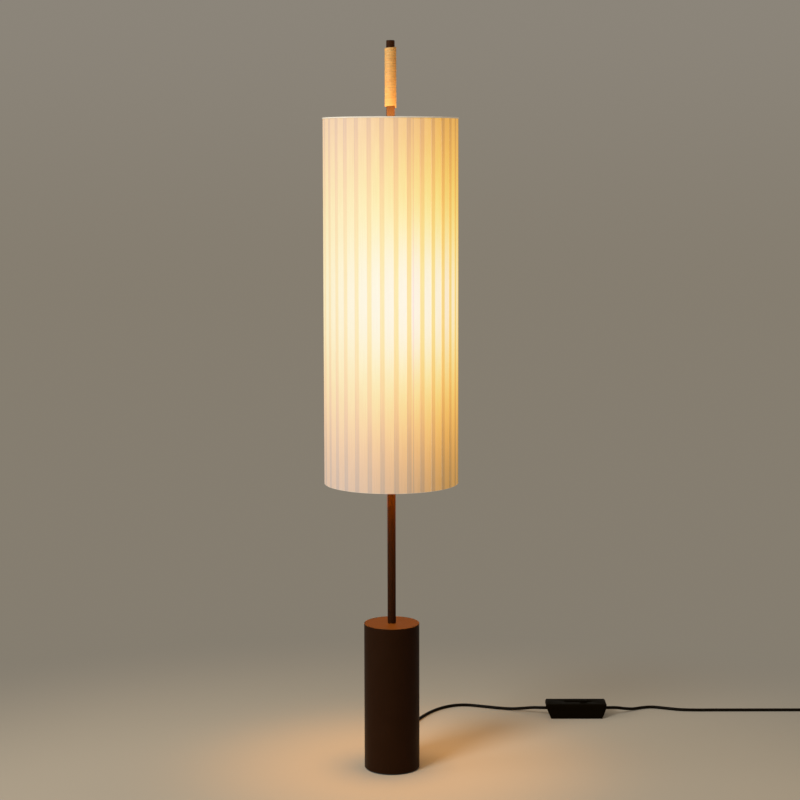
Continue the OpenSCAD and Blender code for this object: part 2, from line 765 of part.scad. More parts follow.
module route_tube(points) {
    color("#121110") translate(lead_shift) skin(level_rings(smooth_path(points, 2), cord_r, tube_sides));
}
module cord_base_to_dimmer() { route_tube(first_route); }
module cord_dimmer_to_coil() { route_tube(second_route); }

// The housing as the meeting of its three outlines: from the front, from the end and from above.
// From the front its ends lean outwards up to the knee and stand upright above it
module dimmer_form(inset) {
    w = dimmer_w - 2 * inset;
    h = dimmer_h - 2 * inset;
    slope = (dimmer_top_l - dimmer_foot_l) / 2 / knee_z;
    half_foot = dimmer_foot_l / 2 + inset * (slope - sqrt(1 + slope * slope));
    half_top = dimmer_top_l / 2 - inset;
    knee = (half_top - half_foot) / slope;
    round_r = max(edge_r - inset, 0.6);
    low_r = max(foot_r - inset, 0.6);
    corner_r = max(plan_r - inset, 0.6);
    front = rounded([[-half_foot, 0], [half_foot, 0], [half_top, knee], [half_top, h],
        [-half_top, h], [-half_top, knee]], [low_r, low_r, 0, round_r, round_r, 0]);
    end = rounded(box_outline(w, h), [1, 1, round_r, round_r]);
    above = rounded(box_outline(2 * half_top, w), [corner_r, corner_r, corner_r, corner_r]);
    translate([0, 0, inset]) intersection() {
        translate([0, w / 2 + 1, 0]) rotate([90, 0, 0]) linear_extrude(w + 2) polygon(front);
        translate([-half_top - 1, 0, h / 2]) rotate([90, 0, 90])
            linear_extrude(2 * half_top + 2) polygon(end);
        translate([0, 0, -1]) linear_extrude(h + 2) polygon(above);
    }
}

// Everything in the dimmer between two heights
module dimmer_layer(z0, z1) {
    translate([-dimmer_top_l, -dimmer_w, z0]) cube([2 * dimmer_top_l, 2 * dimmer_w, z1 - z0]);
}

module at_dimmer() { translate(dimmer_at) children(); }

// A rectangle with round corners
module round_plan(l, w, r) { polygon(rounded(box_outline(l, w), [r, r, r, r])); }

module cord_holes() {
    translate([-dimmer_top_l, 0, split_z]) rotate([0, 90, 0])
        cylinder(r = cord_r + seat_gap, h = 2 * dimmer_top_l, $fn = 48);
}

module at_dimmer_screws() {
    for (s = [-1, 1]) translate([s * dimmer_screw_at[0], s * dimmer_screw_at[1], 0]) children();
}

module at_standoffs() {
    for (x = [-1, 1], y = [-1, 1]) translate([x * standoff_at[0], y * standoff_at[1], 0]) children();
}

// The lower shell: floor, walls, four standoffs for the board and two screw bosses
module dimmer_tray() {
    rim_z = split_z - seat_gap;
    color("#151414") at_dimmer() difference() {
        union() {
            difference() {
                intersection() {
                    dimmer_form(0);
                    dimmer_layer(0, rim_z);
                }
                dimmer_form(dimmer_wall);
            }
            at_standoffs() translate([0, 0, dimmer_wall - eps])
                cylinder(r = standoff_r, h = board_z - dimmer_wall + eps);
            at_dimmer_screws() translate([0, 0, dimmer_wall - eps])
                cylinder(r = dimmer_boss_r, h = rim_z - dimmer_wall + eps);
        }
        cord_holes();
        at_dimmer_screws() mirror([0, 0, 1])
            countersunk(dimmer_screw_r + seat_gap, dimmer_head_r + screw_sink + seat_gap, split_z + 2);
    }
}

// The upper shell: walls, roof with the finger groove and its slot, and two screw posts
module dimmer_cover() {
    groove_l = slide_travel + button_l + 2 * slide_gap;
    slot_l = slide_travel + lever_l + 2 * slide_gap;
    color("#1a1918") at_dimmer() difference() {
        union() {
            difference() {
                intersection() {
                    dimmer_form(0);
                    dimmer_layer(split_z, dimmer_h + 1);
                }
                intersection() {
                    dimmer_form(dimmer_wall);
                    dimmer_layer(0, roof_z);
                }
            }
            at_dimmer_screws() translate([0, 0, split_z])
                cylinder(r = dimmer_boss_r, h = roof_z - split_z + eps);
        }
        translate([slot_mid, 0, dimmer_h - groove_deep]) linear_extrude(2 * groove_deep)
            round_plan(groove_l, button_w + 2 * slide_gap, groove_corner_r);
        translate([slot_mid - slot_l / 2, -neck_w / 2 - slide_gap, split_z])
            cube([slot_l, neck_w + 2 * slide_gap, dimmer_h]);
        cord_holes();
        at_dimmer_screws() translate([0, 0, split_z - 1]) cylinder(r = dimmer_screw_r + seat_gap, h = 8);
    }
}

// The slider: a ribbed button, a neck through the slot, a foot under the roof and a lever in the track
module dimmer_slider() {
    ribs = 5;
    rib_step = button_l / (ribs + 1);
    floor_z = dimmer_h - groove_deep + slide_gap;
    top_z = dimmer_h + button_h;
    foot_z = roof_z - slide_gap - slider_foot_t;
    lever_z = board_z + board_t + track_h - 2.5;
    button_rise = top_z - floor_z;
    side = concat(
        [[-button_l / 2, 0], [button_l / 2, 0], [button_l / 2 - 0.8, button_rise - 0.8]],
        [for (k = [ribs:-1:1]) let (x = -button_l / 2 + k * rib_step) each [
            [x + 0.5, button_rise - 0.8], [x + 0.5, button_rise], [x - 0.5, button_rise],
            [x - 0.5, button_rise - 0.8]]],
        [[-button_l / 2 + 0.8, button_rise - 0.8]]
    );
    color("#242322") at_dimmer() translate([slide_rest, 0, 0]) {
        translate([0, 0, floor_z]) intersection() {
            translate([0, button_w / 2, 0]) rotate([90, 0, 0]) linear_extrude(button_w) polygon(side);
            linear_extrude(button_rise) round_plan(button_l, button_w, groove_corner_r - slide_gap);
        }
        translate([-lever_l / 2, -neck_w / 2, foot_z]) cube([lever_l, neck_w, floor_z - foot_z + eps]);
        translate([-lever_l / 2 - 2, -slider_foot_w / 2, foot_z])
            cube([lever_l + 4, slider_foot_w, slider_foot_t]);
        translate([-lever_l / 2, -lever_t / 2, lever_z]) cube([lever_l, lever_t, foot_z - lever_z + eps]);
    }
}

// The slide control on the board, with the groove that the lever runs in
module dimmer_track() {
    color("#8a8d90") at_dimmer() difference() {
        translate([slot_mid - track_l / 2, -track_w / 2, board_z + board_t])
            cube([track_l, track_w, track_h]);
        translate([slot_mid - track_l / 2 + 2, -lever_t / 2 - slide_gap, board_z + board_t + track_h - 3.2])
            cube([track_l - 4, lever_t + 2 * slide_gap, track_h]);
    }
}

module dimmer_board() {
    color("#3f6b43") at_dimmer() difference() {
        translate([-board_l / 2, -board_w / 2, board_z]) cube([board_l, board_w, board_t]);
        at_dimmer_screws() cylinder(r = dimmer_boss_r + slide_gap, h = dimmer_h);
    }
}

module dimmer_terminals() {
    color("#d4d0c6") at_dimmer() for (s = [-1, 1])
        translate([s * (cord_in_dimmer - terminal_l / 2), 0, board_z + board_t]) difference() {
            translate([-terminal_l / 2, -terminal_w / 2, 0]) cube([terminal_l, terminal_w, terminal_h]);
            for (y = [-1, 1]) translate([0, y * terminal_w / 4, 4]) cylinder(r = 1.8, h = terminal_h);
        }
}

module dimmer_screws() {
    color("#a9abad") at_dimmer() at_dimmer_screws() translate([0, 0, screw_sink]) mirror([0, 0, 1])
        countersunk(dimmer_screw_r, dimmer_head_r, split_z + 4);
}

// ---- coil and plug ----

// Radius, height and angle of the coil after u turns
function coil_radius(u) = coil_r - coil_step * (u < coil_turn_back ? u : coil_turns - u);
function coil_climb(u) = let (s = min(max(2 * (u - coil_turn_back) + 0.5, 0), 1)) s * s * (3 - 2 * s);
function coil_point(u) = coil_at + [
    coil_radius(u) * sin(360 * u), coil_radius(u) * cos(360 * u), coil_rise * coil_climb(u)
];

// One unbroken tube: straight in, the turns, and a straight way down to the plug
module cord_coil() {
    n = coil_turns * coil_rings;
    top = coil_point(coil_turns);
    drop = top[2] - plug_at[2];
    turns = [for (i = [0:n]) coil_point(i / coil_rings)];
    path = concat(
        [route_end],
        turns,
        [for (k = [[0.25, 0.1], [0.5, 0.5], [0.75, 0.9], [1, 1]])
            top + [0, -k[0] * (plug_lead_l - cord_d), -k[1] * drop]],
        [plug_at]
    );
    echo(least_gap_of_coil = least_distance(path, coil_rings / 2) - cord_d);
    color("#121110") skin(level_rings(path, cord_r, coil_sides));
}

// A ribbed taper from the plug's body to the cord
module plug_relief() {
    ribs = 5;
    step = (relief_l - 4) / ribs;
    root_r = cord_r + 2.6;
    tip_r = cord_r + 0.8;
    color("#131212") translate(plug_at) rotate([90, 0, 0]) rotate_extrude() polygon(concat(
        [[0, 0], [tip_r, 0], [tip_r, 2]],
        [for (k = [0:ribs - 1]) let (
            r = tip_r + (root_r - tip_r) * (k + 1) / ribs,
            y = 2 + k * step
        ) each [[r - 0.8, y], [r - 0.8, y + 1.6], [r, y + 1.8], [r, y + step]]],
        [[root_r, relief_l], [0, relief_l]]
    ));
}

// The flat moulded plug: drawn in behind, with a rounded edge all round
module plug_body() {
    nose = plug_l * 0.45;
    plan = rounded(
        [[-plug_w / 2, 0], [plug_w / 2, 0], [plug_w / 2, nose],
            [plug_tail_w / 2, plug_l], [-plug_tail_w / 2, plug_l], [-plug_w / 2, nose]],
        [1.5, 1.5, 8, 3, 3, 8]);
    face = rounded(box_outline(plug_w, plug_t), [5, 5, 5, 5]);
    color("#151414") translate([plug_at[0], plug_face_y, 0]) intersection() {
        linear_extrude(plug_t) polygon(plan);
        translate([0, plug_l, plug_t / 2]) rotate([90, 0, 0]) linear_extrude(plug_l) polygon(face);
    }
}

module at_pins() {
    for (s = [-1, 1]) translate([plug_at[0] + s * pin_spacing / 2, plug_face_y, plug_at[2]])
        rotate([90, 0, 0]) children();
}

// Round pins: a thin shank under the sleeve and a full tip with a round nose
module plug_pins() {
    r = pin_d / 2;
    color("#c9ccce") at_pins() rotate_extrude($fn = 48) polygon(concat(
        [[0, 0], [r - 0.5, 0], [r - 0.5, sleeve_l], [r, sleeve_l]],
        arc_points([r - 1.2, pin_l - 1.2], 1.2, 0, 90, 4),
        [[0, pin_l]]
    ));
}

module pin_sleeves() {
    color("#1c1b1a") at_pins() difference() {
        cylinder(d = pin_d, h = sleeve_l - 0.05, $fn = 48);
        translate([0, 0, -1]) cylinder(r = pin_d / 2 - 0.45, h = sleeve_l + 2, $fn = 48);
    }
}

foot_pad();
base_plate();
base_plate_screws();
ballast();
base_shell();
stem_flange();
flange_screws();
flange_grub_screw();
cord_gland();
inner_flex();
stem_tube();
lower_bracket();
upper_bracket();
bracket_screws();
lower_lampholder();
upper_lampholder();
lampholder_nuts();
lamp_leads();
lower_bulb_cap();
lower_bulb();
upper_bulb_cap();
upper_bulb();
bottom_spider();
top_spider();
spider_screws();
bottom_hoop();
top_hoop();
shade_ribbons();
bottom_binding();
top_binding();
handle_winding();
top_cap();
cord_base_to_dimmer();
dimmer_tray();
dimmer_cover();
dimmer_slider();
dimmer_track();
dimmer_board();
dimmer_terminals();
dimmer_screws();
cord_dimmer_to_coil();
cord_coil();
plug_relief();
plug_body();
plug_pins();
pin_sleeves();
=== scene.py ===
# %% [markdown]
# # A floor lamp with a shade of lapped ribbons
# The lamp is a dark bronze column with a thin stem. On the stem hang two lit bulbs, and round them
# stands a tall drum of 32 upright fabric ribbons, each lapped a little over the next. A grip of
# wound strand shows above the shade, and a black flex with a slide dimmer runs out at the back.
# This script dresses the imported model: the CAD pieces are a fixed frame, and every look is made
# here.

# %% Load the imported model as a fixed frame
import math

import bmesh
import bpy
from mathutils import Matrix, Vector


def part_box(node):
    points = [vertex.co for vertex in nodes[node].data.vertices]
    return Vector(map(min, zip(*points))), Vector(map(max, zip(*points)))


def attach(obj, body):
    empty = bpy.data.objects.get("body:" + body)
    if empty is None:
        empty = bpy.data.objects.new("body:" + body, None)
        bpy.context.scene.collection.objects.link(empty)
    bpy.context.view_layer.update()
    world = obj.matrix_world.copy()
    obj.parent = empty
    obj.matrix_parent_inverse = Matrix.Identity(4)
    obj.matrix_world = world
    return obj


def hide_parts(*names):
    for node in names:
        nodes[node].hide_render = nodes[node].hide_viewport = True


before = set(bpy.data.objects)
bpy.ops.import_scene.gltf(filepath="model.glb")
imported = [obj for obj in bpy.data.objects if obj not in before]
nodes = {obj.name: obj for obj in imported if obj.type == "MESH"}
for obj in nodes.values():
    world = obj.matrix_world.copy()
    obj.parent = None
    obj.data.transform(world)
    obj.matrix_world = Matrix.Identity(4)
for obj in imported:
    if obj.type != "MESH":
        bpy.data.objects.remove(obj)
scene = bpy.context.scene
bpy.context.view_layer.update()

# %% A helper that puts things into the scene


def put(name, data):
    """Puts a new object with this data into the scene."""
    thing = bpy.data.objects.new(name, data)
    scene.collection.objects.link(thing)
    return thing


# %% [markdown]
# ## The camera
# The photograph was taken from about 3.4 m away with a long lens, from near the top of the lamp
# and tilted down by five degrees. A picture can be moved up or down on the sensor without
# tilting the camera, which keeps upright lines upright: that is what the small shift does.

# %% Set the camera at the photograph's angle
CAMERA_AT = Vector((0.0273, -3.4049, 1.1074))
CAMERA_TILT = math.radians(4.870)
CAMERA_PAN = math.radians(-0.190)
CAMERA_ROLL = math.radians(-0.112)
CAMERA_LENS = 86.05
CAMERA_SENSOR = 36.0
CAMERA_SHIFT = -0.10

camera = put("camera", bpy.data.cameras.new("camera"))
camera.data.lens = CAMERA_LENS
camera.data.sensor_width = CAMERA_SENSOR
camera.data.shift_y = CAMERA_SHIFT
camera.data.clip_end = 60.0
camera.matrix_world = (
    Matrix.Translation(CAMERA_AT)
    @ Matrix.Rotation(-CAMERA_PAN, 4, "Z")
    @ Matrix.Rotation(math.pi / 2 - CAMERA_TILT, 4, "X")
    @ Matrix.Rotation(CAMERA_ROLL, 4, "Z")
)
scene.camera = camera
print(f"camera {CAMERA_AT.length:.2f} m from the lamp's foot, lens {CAMERA_LENS} mm")

# %% [markdown]
# ## Helpers for node trees
# Materials and Geometry Nodes are both built from nodes with sockets. One short function adds a
# node, sets its options and fills its inputs, with plain values or with another node's output.
# The others write a sum, a vector, a noise or a ramp of colours in one line. All trees below are
# built with these.

# %% Helpers that add nodes


def fill(tree, node, inputs):
    """Fills a node's inputs. An input is a value or another node's output socket."""
    for name, value in inputs.items():
        if isinstance(value, bpy.types.NodeSocket):
            tree.links.new(value, node.inputs[name])
        else:
            node.inputs[name].default_value = value
    return node


def add(tree, kind, inputs=None, **options):
    """Adds a node to a tree, sets its options and fills its inputs."""
    made = tree.nodes.new(kind)
    for name, value in options.items():
        setattr(made, name, value)
    return fill(tree, made, inputs or {})


def calc(tree, operation, *values):
    """One step of arithmetic on numbers or sockets."""
    return add(tree, "ShaderNodeMath", dict(enumerate(values)), operation=operation).outputs[0]


def vector(tree, operation, *values):
    """One step on vectors. A distance and a dot product give a number."""
    step = add(tree, "ShaderNodeVectorMath", dict(enumerate(values)), operation=operation)
    return step.outputs["Value" if operation in ("DISTANCE", "DOT_PRODUCT") else "Vector"]


def join(tree, *values):
    """A vector from its x, y and z."""
    return add(tree, "ShaderNodeCombineXYZ", dict(enumerate(values))).outputs[0]


def split(tree, value):
    """The x, y and z of a vector."""
    return add(tree, "ShaderNodeSeparateXYZ", {0: value}).outputs


def between(tree, value, low, high, to_low=0.0, to_high=1.0, smooth=False):
    """Maps a value from one range to another, clamped at both ends."""
    span = {"Value": value, "From Min": low, "From Max": high, "To Min": to_low, "To Max": to_high}
    kind = "SMOOTHSTEP" if smooth else "LINEAR"
    return add(tree, "ShaderNodeMapRange", span, interpolation_type=kind).outputs[0]


def noise(tree, inputs, dimensions="3D"):
    """A soft random value around a half."""
    return add(tree, "ShaderNodeTexNoise", inputs, noise_dimensions=dimensions).outputs[0]


def colour_ramp(tree, value, stops):
    """A colour for a value, between stops of position and colour."""
    ramp = add(tree, "ShaderNodeValToRGB", {"Fac": value})
    marks = ramp.color_ramp.elements
    while len(marks) < len(stops):
        marks.new(0.5)
    for mark, (position, colour) in zip(marks, stops):
        mark.position = position
        mark.color = (*colour, 1.0)
    return ramp.outputs[0]


def new_finish(name):
    """An empty material, with its tree and its main shader."""
    material = bpy.data.materials.new(name)
    material.use_nodes = True
    tree = material.node_tree
    return material, tree, tree.nodes["Principled BSDF"]


# %% [markdown]
# ## Plain finishes
# Most of the lamp is painted steel, moulded plastic, rubber or bare metal. Up close none of these
# is one flat colour: paint has a fine orange-peel grain and a faint mottle, plastic carries the
# texture of its mould, and metal is drawn or brushed along one direction. One function makes them
# all from a few numbers, and reads Object coordinates, so a pattern has its real size in metres.

# %% A function for plain finishes


def plain_finish(
    name, colour, roughness, metallic=0.0, mottle=0.08, patch=25.0, grain=1800.0, depth=0.00002,
    stretch=(1, 1, 1), sockets=None,
):
    """A finish with a mottled colour, a fine grain in its gloss and in its surface."""
    material, tree, shader = new_finish(name)
    place = add(tree, "ShaderNodeTexCoord").outputs["Object"]
    drawn = add(tree, "ShaderNodeMapping", {"Vector": place, "Scale": stretch}).outputs[0]
    cloud = noise(tree, {"Vector": place, "Scale": patch, "Detail": 4.0})
    fine = noise(tree, {"Vector": drawn, "Scale": grain, "Detail": 2.0})
    shade = between(tree, cloud, 0.3, 0.7, 1 - mottle, 1 + mottle)
    gloss = calc(tree, "ADD", between(tree, cloud, 0.35, 0.65, -0.03, 0.03), roughness - 0.04)
    bump = add(tree, "ShaderNodeBump", {"Height": fine, "Distance": depth, "Strength": 1.0})
    look = {
        "Base Color": vector(tree, "MULTIPLY", colour, shade),
        "Roughness": calc(tree, "MULTIPLY_ADD", fine, 0.08, gloss),
        "Normal": bump.outputs[0],
        "Metallic": metallic,
    }
    fill(tree, shader, {**look, **(sockets or {})})
    return material


# %% [markdown]
# ## The lamp's plain finishes
# The colours are what the photograph shows once its light is taken out: a brown so dark that only
# the warm light on top of the column gives it away, cream parts inside the shade, a matt black
# flex and dimmer, and bare metal where nobody looks. A dark surface with a normal gloss would pick
# up a grey veil from the soft light all round, so the dark finishes have very little gloss.

# %% Make the plain finishes
DULL = {"Specular IOR Level": 0.03}
FINISHES = {
    "bronze_paint": plain_finish(
        "bronze_paint", (0.0165, 0.0054, 0.0015), 0.45, mottle=0.05, grain=1500, depth=0.00003,
        sockets={"Specular IOR Level": 0.045},
    ),
    "dark_cap_paint": plain_finish(
        "dark_cap_paint", (0.034, 0.0125, 0.005), 0.4, grain=2500, sockets=DULL
    ),
    "foot_rubber": plain_finish("foot_rubber", (0.03, 0.028, 0.026), 0.8, depth=0.00004),
    "zinc_steel": plain_finish("zinc_steel", (0.55, 0.55, 0.56), 0.34, 1.0, mottle=0.12, patch=400),
    "raw_iron": plain_finish("raw_iron", (0.1, 0.1, 0.105), 0.62, 0.85, mottle=0.2, grain=900),
    "black_rubber": plain_finish(
        "black_rubber", (0.007, 0.006, 0.005), 0.6, depth=0.00003, sockets=DULL
    ),
    "black_cord": plain_finish(
        "black_cord", (0.0066, 0.0043, 0.0022), 0.42, mottle=0.15, patch=300, sockets=DULL
    ),
    "white_wire": plain_finish("white_wire", (0.75, 0.72, 0.66), 0.4, mottle=0.04),
    "cream_steel": plain_finish("cream_steel", (0.78, 0.76, 0.7), 0.42, mottle=0.03),
    "cream_plastic": plain_finish("cream_plastic", (0.84, 0.81, 0.74), 0.35, mottle=0.03),
    "brass": plain_finish("brass", (0.7, 0.5, 0.2), 0.3, 1.0, stretch=(1, 1, 0.1)),
    "cap_metal": plain_finish("cap_metal", (0.66, 0.64, 0.6), 0.3, 1.0, stretch=(0.1, 0.1, 1)),
    "black_plastic": plain_finish(
        "black_plastic", (0.0040, 0.0023, 0.0006), 0.42, mottle=0.1, patch=120, grain=2600,
        depth=0.00005, sockets={"Specular IOR Level": 0.01},
    ),
    "track_metal": plain_finish("track_metal", (0.5, 0.5, 0.5), 0.35, 1.0, stretch=(0.05, 1, 1)),
    "board_green": plain_finish("board_green", (0.06, 0.2, 0.09), 0.3, mottle=0.15, patch=300),
    "terminal_plastic": plain_finish("terminal_plastic", (0.7, 0.68, 0.62), 0.5),
    "pin_metal": plain_finish("pin_metal", (0.75, 0.75, 0.76), 0.2, 1.0, stretch=(1, 0.05, 1)),
    "sleeve_plastic": plain_finish("sleeve_plastic", (0.02, 0.02, 0.02), 0.3),
}
print(len(FINISHES), "plain finishes")

# %% [markdown]
# ## Opal glass
# A frosted bulb is a thin white glass that the light inside makes glow, brightest at the middle and
# weaker towards the cap. Real glass with a light inside would need many samples for the same look,
# so the glass is made an emitter, with a glow that fades along the bulb, under a glossy coat.

# %% The opal glass of the two bulbs
BULB_AXIS_OUT = 0.030
LOWER_GLOW = Vector((-0.866 * BULB_AXIS_OUT, -0.5 * BULB_AXIS_OUT, 0.804))
UPPER_GLOW = Vector((0.866 * BULB_AXIS_OUT, -0.5 * BULB_AXIS_OUT, 0.929))
BULB_COLOUR = (1.0, 0.72, 0.42)
BULB_STRENGTH = 5.0
BULB_END_SHARE = 0.35


def opal_glass():
    """Frosted glass that glows, strongest at the middle of each bulb."""
    material, tree, shader = new_finish("opal_glass")
    place = add(tree, "ShaderNodeTexCoord").outputs["Object"]
    gaps = [vector(tree, "DISTANCE", place, glow) for glow in (LOWER_GLOW, UPPER_GLOW)]
    near = calc(tree, "MINIMUM", *gaps)
    weak = BULB_STRENGTH * BULB_END_SHARE
    cloud = noise(tree, {"Vector": place, "Scale": 60.0})
    look = {
        "Emission Strength": between(tree, near, 0.015, 0.05, BULB_STRENGTH, weak, smooth=True),
        "Emission Color": (*BULB_COLOUR, 1.0),
        "Base Color": (0.9, 0.86, 0.78, 1.0),
        "Roughness": between(tree, cloud, 0.3, 0.7, 0.22, 0.3),
    }
    fill(tree, shader, look)
    return material


FINISHES["opal_glass"] = opal_glass()

# %% [markdown]
# ## The ribbon fabric and its glow
# The shade is what the eye goes to. Each ribbon is a thin woven band that lets part of the light
# through, and looks darker where two layers lap, along its free edge and at the one seam that
# closes the cloth. Translucent cloth round two strong lamps would need many samples to come out
# clean, so the light behind the cloth is worked out instead: an even level from the bounces in the
# drum, and a soft patch in front of each bulb, both cut down where the cloth is double.
#
# A camera shows weak light through cloth as amber and strong light as cream, and never more than
# white. A colour ramp does the first and a soft film curve the second. The curve is worked out for
# the glow and the daylight together, and the daylight is taken off again, because the studio's own
# lights add it on the shader's base colour.

# %% The fabric of the shade
CLOTH = (0.30, 0.32, 0.375)
RIBBON_COUNT = 32
RIBBON_PITCH = 2 * math.pi / RIBBON_COUNT
LAP_ANGLE = math.radians(3.804)
RIBBON_ANGLE = RIBBON_PITCH + LAP_ANGLE
LAP_SHARE = LAP_ANGLE / RIBBON_ANGLE
# Each soft patch of light: its middle, how far it reaches, and its strength.
PATCHES = [
    (Vector((0.017, -0.060, 0.813)), 0.184, 0.65),
    (Vector((0.017, -0.060, 0.980)), 0.200, 0.43),
]
CORE = (Vector((0.026, -0.070, 0.858)), 0.105, 0.68)
# The even light from the bounces, at the shade's bottom and at its top.
EVEN_FROM, EVEN_TO = (0.524, 0.155), (1.177, 0.201)
# What a place lets through: a lap, a lap at the brightest core, a free edge and the seam.
LAP_LET = 0.69
CORE_LAP_LET = 0.13
SELVEDGE_LET = 0.86
SEAM_LET = 0.68
# Places across a ribbon, as shares of its width: the seam, the free edge, and how softly a lap
# begins where the ribbon lies over its neighbour and where it lies under.
SEAM_RIBBON = 1
SEAM_AT = 0.36
SEAM_HALF_W = 0.03
SELVEDGE = (0.02, 0.05)
OVER_SOFT, UNDER_SOFT = 0.045, 0.02
# Changes from ribbon to ribbon and from thread to thread, and how fine the threads are.
TONE_PLAY = 0.05
STREAK_PLAY = 0.07
STREAKS = (900, 14, 1)
WEAVE = (2500, 2500, 1)
GLOW_FULL = 1.3
GLOW_STOPS = [
    (0.00, (0.00, 0.00, 0.000)),
    (0.10, (0.22, 0.10, 0.000)),
    (0.20, (0.45, 0.20, 0.004)),
    (0.30, (0.68, 0.30, 0.016)),
    (0.42, (0.90, 0.42, 0.036)),
    (0.55, (1.00, 0.55, 0.065)),
    (0.70, (1.09, 0.70, 0.107)),
    (0.90, (1.26, 0.90, 0.162)),
    (1.20, (1.30, 1.20, 0.229)),
]
# Daylight on the cloth: what comes from all round, from the key light and from the side.
DAY_ROUND = (0.112, 0.102, 0.084)
DAY_FROM = [
    (Vector((-0.637, -0.771, 0)), (0.159, 0.189, 0.216)),
    (Vector((-0.983, -0.183, 0)), (0.097, 0.099, 0.098)),
]
FILM_FULL = (1.0, 1.0, 0.84)
FILM_BEND = (6.0, 4.0, 4.0)


def smooth_gate(tree, value, edge, soft):
    """0 below an edge and 1 above it, with a soft change of that half width."""
    return between(tree, value, edge - soft, edge + soft, smooth=True)


def soft_patch(tree, place, middle, reach, strength):
    """Light that is strongest at a place and fades around it like a bell."""
    gap = vector(tree, "DISTANCE", place, middle)
    far = calc(tree, "POWER", calc(tree, "DIVIDE", gap, reach), 2.0)
    fading = calc(tree, "EXPONENT", calc(tree, "MULTIPLY", far, -1.0))
    return calc(tree, "MULTIPLY", fading, strength)


def shade_glow(tree, place):
    """The light that comes through the cloth, from both bulbs and from the bounces in the drum."""
    (low, low_light), (high, high_light) = EVEN_FROM, EVEN_TO
    total = between(tree, split(tree, place)[2], low, high, low_light, high_light)
    for patch in PATCHES:
        total = calc(tree, "ADD", total, soft_patch(tree, place, *patch))
    return total


def film_glow(tree, place, light):
    """What a camera adds for the glow on top of the daylight, when it softens its highlights."""
    outward = vector(tree, "NORMALIZE", vector(tree, "MULTIPLY", place, (1, 1, 0)))
    daylight = DAY_ROUND
    for way, colour in DAY_FROM:
        facing = calc(tree, "MAXIMUM", vector(tree, "DOT_PRODUCT", outward, way), 0.0)
        pairs = zip(colour, daylight)
        daylight = [calc(tree, "MULTIPLY_ADD", facing, share, sofar) for share, sofar in pairs]
    out = []
    for glow, day, full, bend in zip(split(tree, light), daylight, FILM_FULL, FILM_BEND):
        both = calc(tree, "ADD", glow, day)
        over = calc(tree, "POWER", calc(tree, "DIVIDE", both, full), bend)
        soft = calc(tree, "POWER", calc(tree, "ADD", over, 1.0), -1 / bend)
        kept = calc(tree, "SUBTRACT", calc(tree, "MULTIPLY", both, soft), day)
        out.append(calc(tree, "MAXIMUM", kept, 0.0))
    return join(tree, *out)


def attribute(tree, name):
    """A value that the piece's own mesh carries."""
    return add(tree, "ShaderNodeAttribute", attribute_name=name).outputs["Fac"]


def dimmed(tree, glow, mask, let):
    """Glow, cut down to a share where a mask is 1."""
    return calc(tree, "MULTIPLY", glow, between(tree, mask, 0, 1, 1.0, let))


def ribbon_fabric():
    """Thin woven cloth, lit from behind."""
    material, tree, shader = new_finish("ribbon_fabric")
    place = add(tree, "ShaderNodeTexCoord").outputs["Object"]
    cloth = add(tree, "ShaderNodeUVMap", uv_map="UVMap").outputs[0]
    across, ribbon = attribute(tree, "across"), attribute(tree, "ribbon")
    over = calc(tree, "SUBTRACT", 1.0, smooth_gate(tree, across, LAP_SHARE, OVER_SOFT))
    lap = calc(tree, "MAXIMUM", over, smooth_gate(tree, across, 1 - LAP_SHARE, UNDER_SOFT))
    chance = add(tree, "ShaderNodeTexWhiteNoise", {"W": ribbon}, noise_dimensions="1D")
    tone = between(tree, chance.outputs["Value"], 0, 1, 1 - TONE_PLAY, 1 + TONE_PLAY)
    selvedge = between(tree, across, *SELVEDGE, SELVEDGE_LET, 1.0)
    seam = calc(tree, "COMPARE", across, SEAM_AT, SEAM_HALF_W)
    seam = calc(tree, "MULTIPLY", seam, calc(tree, "COMPARE", ribbon, SEAM_RIBBON, 0.5))
    slub = add(tree, "ShaderNodeMapping", {"Vector": cloth, "Scale": STREAKS}).outputs[0]
    streak = noise(tree, {"Vector": slub, "Scale": 1.0, "Detail": 3.0})
    uneven = between(tree, streak, 0.25, 0.75, 1 - STREAK_PLAY, 1 + STREAK_PLAY)
    glow = dimmed(tree, shade_glow(tree, place), lap, LAP_LET)
    glow = dimmed(tree, glow, seam, SEAM_LET)
    for share in (tone, selvedge, uneven):
        glow = calc(tree, "MULTIPLY", glow, share)
    stops = [(position / GLOW_FULL, colour) for position, colour in GLOW_STOPS]
    warm = colour_ramp(tree, calc(tree, "DIVIDE", glow, GLOW_FULL), stops)
    core = dimmed(tree, soft_patch(tree, place, *CORE), lap, CORE_LAP_LET)
    light = vector(tree, "ADD", warm, join(tree, 0.0, 0.0, core))
    weave = add(tree, "ShaderNodeMapping", {"Vector": cloth, "Scale": WEAVE}).outputs[0]
    threads = add(tree, "ShaderNodeTexChecker", {"Vector": weave, "Scale": 1.0}).outputs["Fac"]
    relief = calc(tree, "MULTIPLY_ADD", threads, 0.5, streak)
    bump = add(tree, "ShaderNodeBump", {"Height": relief, "Distance": 0.00008, "Strength": 0.6})
    look = {
        "Base Color": vector(tree, "MULTIPLY", CLOTH, between(tree, streak, 0.2, 0.8, 0.94, 1.04)),
        "Emission Color": film_glow(tree, place, light),
        "Emission Strength": 1.0,
        "Normal": bump.outputs[0],
        "Roughness": 0.85,
        "Specular IOR Level": 0.2,
        "Sheen Weight": 0.15,
        "Sheen Roughness": 0.5,
    }
    fill(tree, shader, look)
    return material


FINISHES["ribbon_fabric"] = ribbon_fabric()

